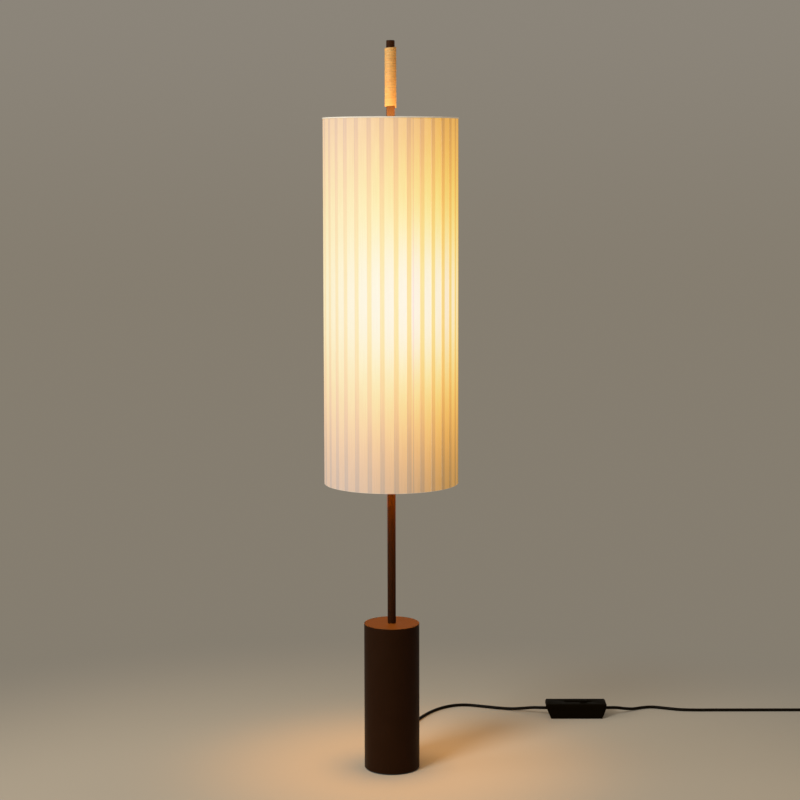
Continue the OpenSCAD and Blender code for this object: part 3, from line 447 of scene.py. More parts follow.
# %% [markdown]
# ## Tape and wound strand
# The rims of the drum are bound with a narrow woven tape, which shows as a thin pale line because
# it stands over the steel hoop and lets little light through. The grip is wound with one long
# strand of twisted paper or cane. Its fibres run along the strand, so its pattern reads the
# distance along and around the strand that Geometry Nodes store on the mesh, and not the place in
# the room.

# %% Finishes for the tape and the strand
STRAND_TONES = [(0.36, (0.52, 0.280, 0.080)), (0.64, (0.58, 0.335, 0.105))]
FIBRE_ALONG = 60.0
FIBRE_AROUND = 22.0
TONE_ALONG = 26.0


def binding_tape():
    """A narrow woven tape, pale and matt, that lets a little of the lamp's light through."""
    through = {"Emission Color": (1.0, 0.86, 0.66, 1.0), "Emission Strength": 0.16}
    return plain_finish(
        "binding_tape", (0.60, 0.53, 0.45), 0.85, mottle=0.06, patch=90, grain=2500, depth=0.0001,
        sockets=through,
    )


def wound_strand():
    """Twisted fibre: fine streaks along the strand and a change of tone from turn to turn."""
    material, tree, shader = new_finish("wound_strand")
    along, around = attribute(tree, "along"), attribute(tree, "around")
    stretched = calc(tree, "MULTIPLY", along, FIBRE_ALONG)
    laid = join(tree, stretched, calc(tree, "MULTIPLY", around, FIBRE_AROUND))
    fibre = noise(tree, {"Vector": laid, "Scale": 1.0, "Detail": 4.0})
    slow = noise(tree, {"W": calc(tree, "MULTIPLY", along, TONE_ALONG), "Scale": 1.0}, "1D")
    tone = calc(tree, "MULTIPLY_ADD", slow, 0.6, calc(tree, "MULTIPLY", fibre, 0.4))
    bump = add(tree, "ShaderNodeBump", {"Height": fibre, "Distance": 0.00003, "Strength": 0.4})
    look = {
        "Base Color": colour_ramp(tree, tone, STRAND_TONES),
        "Roughness": between(tree, fibre, 0.3, 0.7, 0.45, 0.65),
        "Normal": bump.outputs[0],
    }
    fill(tree, shader, look)
    return material


FINISHES["binding_tape"] = binding_tape()
FINISHES["wound_strand"] = wound_strand()

# %% [markdown]
# ## Dress the CAD pieces
# Every CAD piece already has the right shape, so most keep it and get the finish of their slot.

# %% Give each CAD piece its finish
for node in nodes.values():
    slot = node.data.materials[0].name.split(".")[0]
    node.data.materials[0] = FINISHES[slot]
print(len(nodes), "CAD pieces dressed")

# %% [markdown]
# ## Helpers for Geometry Nodes
# A Geometry Nodes tree is a recipe with named inputs. It grows a mesh from almost nothing, such as
# a count and a few sizes. The recipe is put on an object as a modifier, its inputs are set, and the
# result is read back as a plain mesh, so that nothing is left to compute later.

# %% Helpers that make a tree and run it


def new_tree(name, inputs):
    """An empty geometry tree with named inputs, given as label: socket kind."""
    tree = bpy.data.node_groups.new(name, "GeometryNodeTree")
    labels = {"Geometry": "Geometry", **inputs}
    for label, kind in labels.items():
        tree.interface.new_socket(label, in_out="INPUT", socket_type="NodeSocket" + kind)
    tree.interface.new_socket("Geometry", in_out="OUTPUT", socket_type="NodeSocketGeometry")
    return tree, tree.nodes.new("NodeGroupInput").outputs


def geo(tree, kind, inputs=None, **options):
    """Adds a geometry node and gives its first output."""
    return add(tree, "GeometryNode" + kind, inputs, **options).outputs[0]


def close_tree(tree, geometry, material):
    """Ends a tree with real instances and the piece's material."""
    real = geo(tree, "RealizeInstances", {"Geometry": geometry})
    dressed = geo(tree, "SetMaterial", {"Geometry": real, "Material": material})
    add(tree, "NodeGroupOutput", {"Geometry": dressed})


def store(tree, geometry, name, value, **options):
    """Keeps a value on the geometry under a name that a material can read."""
    kept = {"Geometry": geometry, "Name": name, "Value": value}
    return geo(tree, "StoreNamedAttribute", kept, **options)


def recall(tree, name):
    """Reads a stored value."""
    return geo(tree, "InputNamedAttribute", {"Name": name})


def settle(piece, smooth):
    """Works out a piece's modifiers into a plain mesh. Only edges over the angle stay sharp."""
    graph = bpy.context.evaluated_depsgraph_get()
    made = bpy.data.meshes.new_from_object(piece.evaluated_get(graph))
    piece.modifiers.clear()
    piece.data = made
    made.shade_smooth()
    made.set_sharp_from_angle(angle=math.radians(smooth))
    return made


def grow(name, tree, values, line=(), smooth=40.0, thickness=0.0):
    """Runs a tree on a line of points, or on nothing, and returns the result as a plain piece."""
    mesh = bpy.data.meshes.new(name)
    mesh.from_pydata(line, [(i, i + 1) for i in range(len(line) - 1)], [])
    piece = put(name, mesh)
    recipe = piece.modifiers.new("recipe", "NODES")
    recipe.node_group = tree
    for item in tree.interface.items_tree:
        if item.in_out == "INPUT" and item.name in values:
            recipe[item.identifier] = values[item.name]
    if thickness:
        wall = piece.modifiers.new("wall", "SOLIDIFY")
        wall.thickness = thickness
        wall.offset = -1.0
    made = settle(piece, smooth)
    made.name = name
    sizes = [round(1000 * value, 2) for value in piece.dimensions]
    print(f"{name}: {len(made.vertices)} points, {len(made.polygons)} faces, {sizes} mm")
    return piece


# %% [markdown]
# ## The flex
# Round flex is a soft black tube of constant thickness. It leaves the column through a rubber
# gland, drops to the floor and runs in a loose curve to the dimmer, then on to the right. What the
# photograph does not show is wound into a neat coil just outside the view. A smooth curve is drawn
# through listed points, and a circle is swept along it.

# %% The routes of the flex
CORD_D = 0.006
FIRST_ROUTE = [
    (0, 0.080, 0.016), (0, 0.088, 0.016), (0, 0.096, 0.016), (0.0003, 0.106, 0.0143),
    (0.0015, 0.118, 0.0096), (0.0036, 0.132, 0.0052), (0.0075, 0.149, 0.0031),
    (0.0135, 0.174, 0.003), (0.0225, 0.207, 0.003), (0.034, 0.241, 0.003), (0.047, 0.276, 0.003),
    (0.061, 0.309, 0.003), (0.078, 0.339, 0.003), (0.099, 0.364, 0.003), (0.123, 0.380, 0.003),
    (0.149, 0.383, 0.003), (0.178, 0.374, 0.003), (0.208, 0.363, 0.003), (0.237, 0.353, 0.004),
    (0.259, 0.342, 0.0082), (0.278, 0.330, 0.013), (0.290, 0.322, 0.0152), (0.299, 0.319, 0.016),
    (0.309, 0.319, 0.016), (0.319, 0.319, 0.016),
]
SECOND_ROUTE = [
    (0.407, 0.319, 0.016), (0.417, 0.319, 0.016), (0.427, 0.319, 0.016), (0.437, 0.3216, 0.0154),
    (0.449, 0.3285, 0.0128), (0.464, 0.3395, 0.008), (0.481, 0.3515, 0.0041),
    (0.500, 0.363, 0.0031), (0.521, 0.3675, 0.003), (0.547, 0.359, 0.003), (0.574, 0.3495, 0.003),
    (0.605, 0.3465, 0.003), (0.640, 0.3465, 0.003), (0.684, 0.3465, 0.003), (0.728, 0.3465, 0.003),
    (0.772, 0.3465, 0.003), (0.816, 0.3465, 0.003), (0.866, 0.3465, 0.003),
]
STEPS_PER_POINT = 6


def smooth_path(points, steps):
    """Points along a smooth curve through the given ones, kept off the floor."""
    through = [Vector(point) for point in (points[0], *points, points[-1])]
    path = []
    for a, b, c, d in zip(through, through[1:], through[2:], through[3:]):
        for step in range(steps):
            t = step / steps
            bend = 2 * a - 5 * b + 4 * c - d
            path.append(0.5 * (2 * b + (c - a) * t + bend * t**2 + (3 * b - a - 3 * c + d) * t**3))
    path.append(through[-1])
    for point in path:
        point.z = max(point.z, CORD_D / 2)
    return path


def length_of(path):
    """Length of a path of points, in metres."""
    return sum((b - a).length for a, b in zip(path, path[1:]))


first_path = smooth_path(FIRST_ROUTE, STEPS_PER_POINT)
print(f"first stretch of flex: {length_of(first_path):.3f} m")

# %% [markdown]
# ## The coil
# The spare flex spirals inwards on the floor, climbs on itself over half a turn and spirals out
# again on top, as a coil put down by hand does. The formula gives the radius and the height at any
# number of turns, and the last stretch bends down into the plug that lies beside the coil.

# %% The coil of spare flex
COIL_R = 0.0435
COIL_TURNS = 5.25
COIL_STEP = 0.0065
COIL_RISE = 0.0065
COIL_AT = Vector((0.872, 0.303, 0.003))
COIL_BACK = COIL_TURNS / 2
COIL_RINGS = 48
PLUG_AT = Vector((0.9155, 0.276, 0.00685))
PLUG_LEAD = [(0.25, 0.1), (0.5, 0.5), (0.75, 0.9), (1.0, 1.0)]
PLUG_LEAD_L = 0.021


def coil_point(turns):
    """Place of the flex after that many turns of the coil."""
    radius = COIL_R - COIL_STEP * (turns if turns < COIL_BACK else COIL_TURNS - turns)
    climb = min(max(2 * (turns - COIL_BACK) + 0.5, 0), 1)
    climb = climb * climb * (3 - 2 * climb)
    angle = 2 * math.pi * turns
    return COIL_AT + Vector((radius * math.sin(angle), radius * math.cos(angle), COIL_RISE * climb))


coil_count = int(COIL_TURNS * COIL_RINGS)
coil = [coil_point(i / COIL_RINGS) for i in range(coil_count + 1)]
coil_top = coil[-1]
drop = coil_top.z - PLUG_AT.z
lead = [coil_top - Vector((0, PLUG_LEAD_L * far, drop * down)) for far, down in PLUG_LEAD]
second_path = smooth_path(SECOND_ROUTE, STEPS_PER_POINT) + coil + lead + [PLUG_AT.copy()]
print(f"second stretch of flex with its coil: {length_of(second_path):.3f} m")

# %% [markdown]
# A path is only a line. The tree turns it into a curve, sweeps a circle along it and closes both
# ends, and stores how far along the flex each point lies.

# %% Sweep the flex along its routes


def flex_tree():
    """A recipe that sweeps a round flex along a line of points."""
    tree, inlet = new_tree("flex", {"Diameter": "Float", "Sides": "Int", "Finish": "Material"})
    curve = geo(tree, "MeshToCurve", {"Mesh": inlet["Geometry"]})
    along = add(tree, "GeometryNodeSplineParameter").outputs["Length"]
    curve = store(tree, curve, "along", along)
    round_ring = {
        "Resolution": inlet["Sides"],
        "Radius": calc(tree, "MULTIPLY", inlet["Diameter"], 0.5),
    }
    ring = geo(tree, "CurvePrimitiveCircle", round_ring)
    swept = {"Curve": curve, "Profile Curve": ring, "Fill Caps": True}
    close_tree(tree, geo(tree, "CurveToMesh", swept), inlet["Finish"])
    return tree


FLEX_TREE = flex_tree()
flex_sizes = {"Diameter": CORD_D, "Sides": 14, "Finish": FINISHES["black_cord"]}
first_flex = grow("flex_base_to_dimmer", FLEX_TREE, flex_sizes, first_path)
second_flex = grow("flex_dimmer_to_plug", FLEX_TREE, flex_sizes, second_path)

# %% [markdown]
# ## The ribbons of the shade
# Thirty-two equal ribbons stand round two hoops. One flat grid is the ribbon, and an instance of it
# is put down for each number from 0 to 31. Then every point is moved: how far across its ribbon it
# lies gives its angle and draws it in by a hair, so that the right edge tucks under the next
# ribbon, and how far up it lies gives its height. A slow noise makes the cloth a little uneven, and
# each ribbon is a touch wider or narrower than its neighbour. A wall thickness is added last.

# %% The recipe for lapped ribbons
# How fast the unevenness changes round and up the drum, and the step on the cloth's own map from
# one ribbon to the next.
UNEVEN = (2.2, 2.2, 3.0)
MAP_STEP = 0.05


def ribbon_tree():
    """A recipe for upright ribbons round a drum, each lapped over the next."""
    tree, inlet = new_tree(
        "lapped_ribbons",
        {
            "Count": "Int", "Lap Angle": "Float", "First Angle": "Float", "Outer Radius": "Float",
            "Layer Step": "Float", "Bottom": "Float", "Height": "Float", "Columns": "Int",
            "Rows": "Int", "Waviness": "Float", "Lap Play": "Float", "Seed": "Int",
            "Cloth": "Material",
        },
    )
    points = geo(tree, "Points", {"Count": inlet["Count"]})
    points = store(tree, points, "ribbon", geo(tree, "InputIndex"))
    size = {
        "Size X": 1.0, "Size Y": 1.0, "Vertices X": inlet["Columns"], "Vertices Y": inlet["Rows"],
    }
    copies = {"Points": points, "Instance": geo(tree, "MeshGrid", size)}
    flat = geo(tree, "RealizeInstances", {"Geometry": geo(tree, "InstanceOnPoints", copies)})
    at = split(tree, geo(tree, "InputPosition"))
    flat = store(tree, flat, "across", calc(tree, "ADD", at[0], 0.5))
    flat = store(tree, flat, "upward", calc(tree, "ADD", at[1], 0.5))
    ribbon, across, upward = (recall(tree, name) for name in ("ribbon", "across", "upward"))
    pitch = calc(tree, "DIVIDE", 2 * math.pi, inlet["Count"])
    turned = calc(tree, "MULTIPLY", across, calc(tree, "ADD", pitch, inlet["Lap Angle"]))
    start = calc(tree, "MULTIPLY_ADD", ribbon, pitch, inlet["First Angle"])
    # The free left edge may wander by the play, and the hidden right edge stays where it is.
    draw = {2: -1.0, 3: 1.0, "ID": ribbon, "Seed": inlet["Seed"]}
    play = add(tree, "FunctionNodeRandomValue", draw).outputs[1]
    wander = calc(tree, "MULTIPLY", play, inlet["Lap Play"])
    wander = calc(tree, "MULTIPLY", wander, calc(tree, "SUBTRACT", 1.0, across))
    angle = calc(tree, "ADD", calc(tree, "ADD", start, turned), wander)
    height = calc(tree, "MULTIPLY_ADD", upward, inlet["Height"], inlet["Bottom"])
    cosine, sine = calc(tree, "COSINE", angle), calc(tree, "SINE", angle)
    round_about = vector(tree, "MULTIPLY", join(tree, cosine, sine, height), UNEVEN)
    wave = calc(tree, "SUBTRACT", noise(tree, {"Vector": round_about, "Scale": 1.0}), 0.5)
    wave = calc(tree, "MULTIPLY", wave, inlet["Waviness"])
    inward = calc(tree, "MULTIPLY", calc(tree, "DIVIDE", turned, pitch), inlet["Layer Step"])
    radius = calc(tree, "ADD", calc(tree, "SUBTRACT", inlet["Outer Radius"], inward), wave)
    x, y = calc(tree, "MULTIPLY", cosine, radius), calc(tree, "MULTIPLY", sine, radius)
    place = {"Geometry": flat, "Position": join(tree, x, y, height)}
    drum = geo(tree, "SetPosition", place)
    wide = calc(tree, "MULTIPLY", turned, inlet["Outer Radius"])
    cloth = join(tree, calc(tree, "MULTIPLY_ADD", ribbon, MAP_STEP, wide), height)
    mapped = store(tree, drum, "UVMap", cloth, data_type="FLOAT2", domain="CORNER")
    close_tree(tree, mapped, inlet["Cloth"])
    return tree


# %% [markdown]
# The sizes come from the CAD ribbons, which these replace: the same count, the same first edge and
# the same height, with the outer face on the same circle.

# %% Grow the shade's ribbons
low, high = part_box("shade_ribbons")
shade_height = high.z - low.z
RIBBON_T = 0.0006
RIBBON_OUT_R = 0.1205
LAYER_STEP = 0.00075
ribbon_sizes = {
    "Count": RIBBON_COUNT, "Lap Angle": LAP_ANGLE, "First Angle": math.radians(-90 + 2.8),
    "Outer Radius": RIBBON_OUT_R, "Layer Step": LAYER_STEP, "Bottom": low.z,
    "Height": shade_height, "Columns": 17, "Rows": 45, "Waviness": 0.0004,
    "Lap Play": math.radians(0.5), "Seed": 4, "Cloth": FINISHES["ribbon_fabric"],
}
shade = grow("lapped_ribbon_shade", ribbon_tree(), ribbon_sizes, thickness=RIBBON_T)

# %% [markdown]
# ## The bound rims
# A narrow tape is folded over each rim. In section it is a U, with a leg outside at the top only.
# The section is turned round the lamp's axis in mesh code, and the free edges are cut a little
# uneven, as tape is.

# %% Turn a tape section round the shade's axis
TAPE_T = 0.0004
TAPE_WEB = 0.00035
RIM_STEPS = 288


def turned_tape(name, section, unevenness):
    """A closed ring from a section of points: radius, height and how far the edge is free."""
    mesh = bpy.data.meshes.new(name)
    points, faces = [], []
    count = len(section)
    for step in range(RIM_STEPS):
        angle = 2 * math.pi * step / RIM_STEPS
        wander = unevenness * (math.sin(17 * angle) + math.sin(41 * angle + 1.0)) / 2
        for radius, height, free in section:
            x, y = radius * math.cos(angle), radius * math.sin(angle)
            points.append((x, y, height + free * wander))
        for i in range(count):
            here, there = step * count, (step + 1) % RIM_STEPS * count
            j = (i + 1) % count
            faces.append((here + i, there + i, there + j, here + j))
    mesh.from_pydata(points, [], faces)
    mesh.materials.append(FINISHES["binding_tape"])
    bm = bmesh.new()
    bm.from_mesh(mesh)
    bmesh.ops.recalc_face_normals(bm, faces=bm.faces)
    bm.to_mesh(mesh)
    bm.free()
    mesh.shade_smooth()
    mesh.set_sharp_from_angle(angle=math.radians(40))
    print(f"{name}: {len(mesh.polygons)} faces")
    return put(name, mesh)


def ring_radii(node):
    """Least and greatest distance of a CAD piece from the lamp's axis."""
    radii = [vertex.co.xy.length for vertex in nodes[node].data.vertices]
    return min(radii), max(radii)


rim_in, rim_out = ring_radii("top_binding")
rim_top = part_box("top_binding")[1].z
LIP = 0.0024
ROUND = 0.00018
top_section = [
    (rim_in, rim_top - ROUND, 0), (rim_in, rim_top - LIP, 1), (rim_in + TAPE_T, rim_top - LIP, 1),
    (rim_in + TAPE_T, rim_top - TAPE_WEB, 0), (rim_out - TAPE_T, rim_top - TAPE_WEB, 0),
    (rim_out - TAPE_T, rim_top - LIP, 1), (rim_out, rim_top - LIP, 1),
    (rim_out, rim_top - ROUND, 0), (rim_out - ROUND, rim_top, 0), (rim_in + ROUND, rim_top, 0),
]
top_tape = turned_tape("top_rim_tape", top_section, 0.0001)
foot_in, foot_out = ring_radii("bottom_binding")
rim_foot, leg_top = (corner.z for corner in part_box("bottom_binding"))
foot_section = [
    (foot_in, rim_foot + ROUND, 0), (foot_in + ROUND, rim_foot, 0), (foot_out - ROUND, rim_foot, 0),
    (foot_out, rim_foot + ROUND, 0), (foot_out, rim_foot + TAPE_WEB, 0),
    (foot_in + TAPE_T, rim_foot + TAPE_WEB, 0), (foot_in + TAPE_T, leg_top, -1),
    (foot_in, leg_top, -1),
]
foot_tape = turned_tape("bottom_rim_tape", foot_section, 0.0001)

# %% [markdown]
# ## The wound grip
# The grip is one flat strand wound 22 times round the stem, each turn lying close on the last. A
# line of points is bent into a helix by their numbers, and a flat band with rounded corners is
# swept along it with its broad side to the stem. A texture could fake the turns, but their edges
# show against the background. The pitch wavers by a tenth of a millimetre, as hand work does.

# %% The recipe for the wound strand
# How fast the pitch wavers, from turn to turn.
WAVER_PACE = 0.8


def strand_tree():
    """A recipe for a flat strand wound round an upright stem."""
    tree, inlet = new_tree(
        "wound_strand",
        {
            "Turns": "Int", "Steps": "Int", "Radius": "Float", "Bottom": "Float", "Rise": "Float",
            "Width": "Float", "Thickness": "Float", "Corner": "Float", "Waver": "Float",
            "Finish": "Material",
        },
    )
    last = calc(tree, "MULTIPLY", inlet["Turns"], inlet["Steps"])
    line = geo(tree, "MeshLine", {"Count": calc(tree, "ADD", last, 3.0)})
    number = calc(tree, "SUBTRACT", geo(tree, "InputIndex"), 1.0)
    held = calc(tree, "MINIMUM", calc(tree, "MAXIMUM", number, 0.0), last)
    tail = calc(tree, "MULTIPLY", calc(tree, "SUBTRACT", number, held), inlet["Width"])
    turns = calc(tree, "DIVIDE", held, inlet["Steps"])
    angle = calc(tree, "MULTIPLY", turns, 2 * math.pi)
    x = calc(tree, "MULTIPLY", calc(tree, "COSINE", angle), inlet["Radius"])
    y = calc(tree, "MULTIPLY_ADD", calc(tree, "SINE", angle), inlet["Radius"], tail)
    waver = calc(tree, "SUBTRACT", noise(tree, {"W": turns, "Scale": WAVER_PACE}, "1D"), 0.5)
    waver = calc(tree, "MULTIPLY", waver, inlet["Waver"])
    rise = calc(tree, "MULTIPLY_ADD", turns, inlet["Rise"], inlet["Bottom"])
    place = join(tree, x, y, calc(tree, "ADD", rise, waver))
    helix = geo(tree, "SetPosition", {"Geometry": line, "Position": place})
    curve = geo(tree, "MeshToCurve", {"Mesh": helix})
    curve = geo(tree, "SetCurveNormal", {"Curve": curve}, mode="Z_UP")
    along = add(tree, "GeometryNodeSplineParameter").outputs["Length"]
    curve = store(tree, curve, "along", along)
    flat = {"Width": inlet["Thickness"], "Height": inlet["Width"]}
    band = geo(tree, "CurvePrimitiveQuadrilateral", flat)
    corner = {"Curve": band, "Radius": inlet["Corner"], "Count": 3, "Limit Radius": True}
    band = geo(tree, "FilletCurve", corner, mode="POLY")
    band = store(tree, band, "around", add(tree, "GeometryNodeSplineParameter").outputs["Factor"])
    swept = {"Curve": curve, "Profile Curve": band, "Fill Caps": True}
    close_tree(tree, geo(tree, "CurveToMesh", swept), inlet["Finish"])
    return tree


# %% Wind the grip
grip_low, grip_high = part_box("handle_winding")
STRAND_W = 0.0041
GRIP_TURNS = 22
grip_rise = (grip_high.z - grip_low.z - STRAND_W) / GRIP_TURNS
strand_sizes = {
    "Turns": GRIP_TURNS, "Steps": 36, "Radius": 0.0090, "Bottom": grip_low.z + STRAND_W / 2,
    "Rise": grip_rise, "Width": grip_rise - 0.0001, "Thickness": 0.0025, "Corner": 0.0004,
    "Waver": 0.0001, "Finish": FINISHES["wound_strand"],
}
winding = grow("wound_grip", strand_tree(), strand_sizes, smooth=15.0)

# %% [markdown]
# ## Moulded edges
# A moulded or cast piece has no sharp edge: a radius of a few tenths of a millimetre catches the
# light. A CAD piece is a loose skin of triangles, so a copy of it is first sewn together and its
# flat faces are made whole, and then a bevel rounds every edge that turns sharply.

# %% Round the edges of the moulded pieces


def softened(node, name, width, sharp=32.0, segments=3):
    """A sewn copy of a CAD piece with rounded edges, which stands for it."""
    mesh = nodes[node].data.copy()
    custom = mesh.attributes.get("custom_normal")
    if custom:
        mesh.attributes.remove(custom)
    bm = bmesh.new()
    bm.from_mesh(mesh)
    bmesh.ops.remove_doubles(bm, verts=bm.verts, dist=2e-6)
    bmesh.ops.dissolve_limit(bm, angle_limit=math.radians(0.5), verts=bm.verts, edges=bm.edges)
    for edge in bm.edges:
        edge.smooth = True
    bm.to_mesh(mesh)
    bm.free()
    mesh.name = name
    piece = put(name, mesh)
    bevel = piece.modifiers.new("edge", "BEVEL")
    bevel.width = width
    bevel.segments = segments
    bevel.limit_method = "ANGLE"
    bevel.angle_limit = math.radians(sharp)
    bevel.use_clamp_overlap = True
    made = settle(piece, 50.0)
    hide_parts(node)
    print(f"{name}: {len(made.polygons)} faces")
    return piece


dimmer_tray = softened("dimmer_tray", "dimmer_tray_moulded", 0.0004)
dimmer_cover = softened("dimmer_cover", "dimmer_cover_moulded", 0.0005)
dimmer_slider = softened("dimmer_slider", "dimmer_slider_moulded", 0.0003)
plug_body = softened("plug_body", "plug_body_moulded", 0.0006)

# %% [markdown]
# ## Put each new piece in place of its CAD piece
# Each new piece rides on the body it belongs to and takes the place of its CAD piece, which is
# hidden.

# %% Attach the new pieces
RIDERS = [
    (first_flex, "lamp", "black_cord", ["cord_base_to_dimmer"]),
    (second_flex, "lamp", "black_cord", ["cord_dimmer_to_coil", "cord_coil"]),
    (shade, "lamp", "ribbon_fabric", ["shade_ribbons"]),
    (top_tape, "lamp", "binding_tape", ["top_binding"]),
    (foot_tape, "lamp", "binding_tape", ["bottom_binding"]),
    (winding, "lamp", "wound_strand", ["handle_winding"]),
    (dimmer_tray, "lamp", "black_plastic", ["dimmer_tray"]),
    (dimmer_cover, "lamp", "black_plastic", ["dimmer_cover"]),
    (dimmer_slider, "slider", "black_plastic", ["dimmer_slider"]),
    (plug_body, "lamp", "black_plastic", ["plug_body"]),
]
for piece, body, slot, stands_for in RIDERS:
    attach(piece, body)
    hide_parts(*stands_for)

# %% [markdown]
# ## Floor and background
# The lamp stands on a plain warm grey floor that runs into a background of one tone, with no line
# between them. The lit floor is real near the lamp, so it takes the shadow and the warm pool of
# light, and further out it fades into the flat background tone, which grows a little lighter above
# the lamp's middle. Only what the camera, a mirror or a glass sees is that flat tone: for the light
# itself, the floor stays a floor.

# %% The floor and the surrounding tone
BACKGROUND = (0.236, 0.207, 0.162, 1.0)
HIGH_TONE = (0.262, 0.235, 0.195, 1.0)
FLOOR_COLOUR = (0.47, 0.395, 0.31, 1.0)
FLOOR_R = 12.0
FADE_AT = Vector((0, -0.6, 0))
FADE = (0.75, 1.6)
LIGHTER_ABOVE = (-0.08, 0.10)
AMBIENT = (1.0, 0.865, 0.67, 1.0)
AMBIENT_STRENGTH = 0.37


def seen_rays(tree):
    """1 for rays from the camera, from a gloss or through a glass, and 0 for the rest."""
    path = add(tree, "ShaderNodeLightPath").outputs
    seen = calc(tree, "MAXIMUM", path["Is Camera Ray"], path["Is Glossy Ray"])
    return calc(tree, "MAXIMUM", seen, path["Is Transmission Ray"])


def floor_finish():
    """A plain floor that fades into the background tone with the distance from the lamp."""
    material, tree, shader = new_finish("studio_floor")
    fill(tree, shader, {"Base Color": FLOOR_COLOUR, "Roughness": 0.9, "Specular IOR Level": 0.1})
    place = add(tree, "ShaderNodeTexCoord").outputs["Object"]
    far = vector(tree, "DISTANCE", place, FADE_AT)
    share = calc(tree, "MULTIPLY", between(tree, far, *FADE, smooth=True), seen_rays(tree))
    flat = add(tree, "ShaderNodeEmission", {"Color": BACKGROUND})
    mix = add(tree, "ShaderNodeMixShader", {0: share, 1: shader.outputs[0], 2: flat.outputs[0]})
    fill(tree, tree.nodes["Material Output"], {"Surface": mix.outputs[0]})
    return material


floor_mesh = bpy.data.meshes.new("studio_floor")
bm = bmesh.new()
bmesh.ops.create_circle(bm, cap_ends=True, segments=96, radius=FLOOR_R)
bm.to_mesh(floor_mesh)
bm.free()
floor_mesh.materials.append(floor_finish())
floor = put("studio_floor", floor_mesh)

world = bpy.data.worlds.new("studio")
world.use_nodes = True
scene.world = world
tree = world.node_tree
ambient = add(tree, "ShaderNodeBackground", {"Color": AMBIENT, "Strength": AMBIENT_STRENGTH})
upward = split(tree, add(tree, "ShaderNodeTexCoord").outputs["Generated"])[2]
height = between(tree, upward, *LIGHTER_ABOVE, smooth=True)
backdrop = add(tree, "ShaderNodeMix", {0: height, 6: BACKGROUND, 7: HIGH_TONE}, data_type="RGBA")
tone = add(tree, "ShaderNodeBackground", {"Color": backdrop.outputs[2], "Strength": 1.0})
mixed = {0: seen_rays(tree), 1: ambient.outputs[0], 2: tone.outputs[0]}
sky = add(tree, "ShaderNodeMixShader", mixed)
fill(tree, tree.nodes["World Output"], {"Surface": sky.outputs[0]})

# %% [markdown]
# ## Light
# One large soft light stands high on the left and in front, and a weaker one fills in from the
# left. The rest is the lamp's own warm light. What leaves the drum at the bottom makes a round pool
# on the floor and warms the top of the column, and what leaves it at the top lights the grip. The
# glowing cloth and glass alone would need many samples for a clean picture, so small lights stand
# in for them inside the drum. Each is linked to the pieces it is meant for: that keeps it off the
# cloth, whose glow is worked out already, and gives dark paint and pale strand each their own
# level. Two more stand in the bulbs and light the steel inside, for whoever looks in from above or
# below.

# %% Set the lights
WARM = (1.0, 0.47, 0.08)
GOLD = (1.0, 0.60, 0.28)
LAMP_MIDDLE = Vector((0, 0, 0.6))


def group(name, pieces):
    """A named collection of pieces."""
    collection = bpy.data.collections.new(name)
    for piece in pieces:
        collection.objects.link(piece)
    return collection


def light(name, kind, at, aim, energy, colour, lit=(), shade_from=(), **settings):
    """A lamp at a place, aimed at another. With lit pieces it shines on these only.

    Only the lit pieces, or the shade_from pieces if there are any, then stand in its way.
    """
    data = bpy.data.lights.new(name, kind)
    data.energy = energy
    data.color = colour
    for label, value in settings.items():
        setattr(data, label, value)
    holder = put(name, data)
    holder.location = at
    holder.rotation_euler = (aim - at).to_track_quat("-Z", "Y").to_euler()
    if lit:
        holder.light_linking.receiver_collection = group(name + "_lit", lit)
        holder.light_linking.blocker_collection = group(name + "_blockers", shade_from or lit)
    return holder


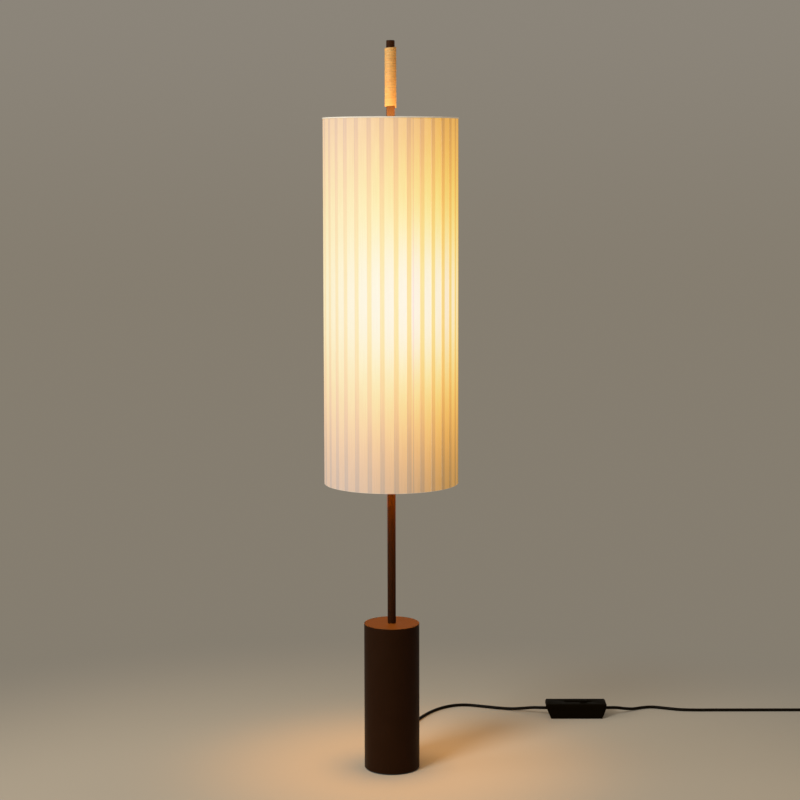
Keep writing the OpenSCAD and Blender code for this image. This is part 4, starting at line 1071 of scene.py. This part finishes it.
key_at, side_at = Vector((-4.75, -5.75, 5.5)), Vector((-7.0, -1.3, 2.4))
light("key", "AREA", key_at, LAMP_MIDDLE, 605, (0.88, 0.97, 1.0), shape="DISK", size=3.2)
light("side_fill", "AREA", side_at, LAMP_MIDDLE, 120, (1.0, 0.98, 0.96), shape="DISK", size=4.0)
BELOW_AT = Vector((0, 0, 0.685))
POOL_AT = Vector((0.018, 0, 0.685))
ABOVE_AT = Vector((0, 0, 1.1705))
UNDER_AT = Vector((0, 0, 0.600))
DOWN = Vector((0, 0, -1))
base, stem = nodes["base_shell"], nodes["stem_tube"]
inside = [
    light(
        "light_below", "SPOT", POOL_AT, POOL_AT + DOWN, 14, WARM, lit=[floor, base],
        spot_size=math.radians(72), spot_blend=1.0, shadow_soft_size=0.10,
    ),
    light(
        "light_above", "AREA", ABOVE_AT, ABOVE_AT - DOWN, 0.50, GOLD,
        lit=[winding, nodes["top_cap"]], shade_from=[stem], shape="DISK", size=0.2,
    ),
    light(
        "light_on_base", "AREA", BELOW_AT, BELOW_AT + DOWN, 17.8, (1.0, 0.745, 0.23), lit=[base],
        shape="DISK", size=0.06,
    ),
    light(
        "light_on_stem_top", "AREA", ABOVE_AT, ABOVE_AT - DOWN, 8.2, (1.0, 0.71, 0.29), lit=[stem],
        shape="DISK", size=0.2,
    ),
    light(
        "light_on_stem", "AREA", UNDER_AT, UNDER_AT + DOWN, 17, (1.0, 0.46, 0.015), lit=[stem],
        shape="DISK", size=0.1,
    ),
]
STEEL_INSIDE = [
    "stem_tube", "lower_bracket", "upper_bracket", "bottom_spider", "top_spider", "bottom_hoop",
    "top_hoop", "lower_lampholder", "upper_lampholder", "lower_bulb_cap", "upper_bulb_cap",
]
steel = [nodes[name] for name in STEEL_INSIDE]
for name, at in (("light_of_lower_bulb", LOWER_GLOW), ("light_of_upper_bulb", UPPER_GLOW)):
    bulb = light(name, "POINT", at, at + DOWN, 0.8, BULB_COLOUR, lit=steel, shadow_soft_size=0.02)
    inside.append(bulb)
for lamp in inside:
    lamp.visible_camera = False
    lamp.visible_glossy = False
print("lights:", len(inside) + 2)

# %% [markdown]
# ## Finish
# The picture's colours are shown as written, with no film curve.

# %% Finish
scene.view_settings.view_transform = "Standard"
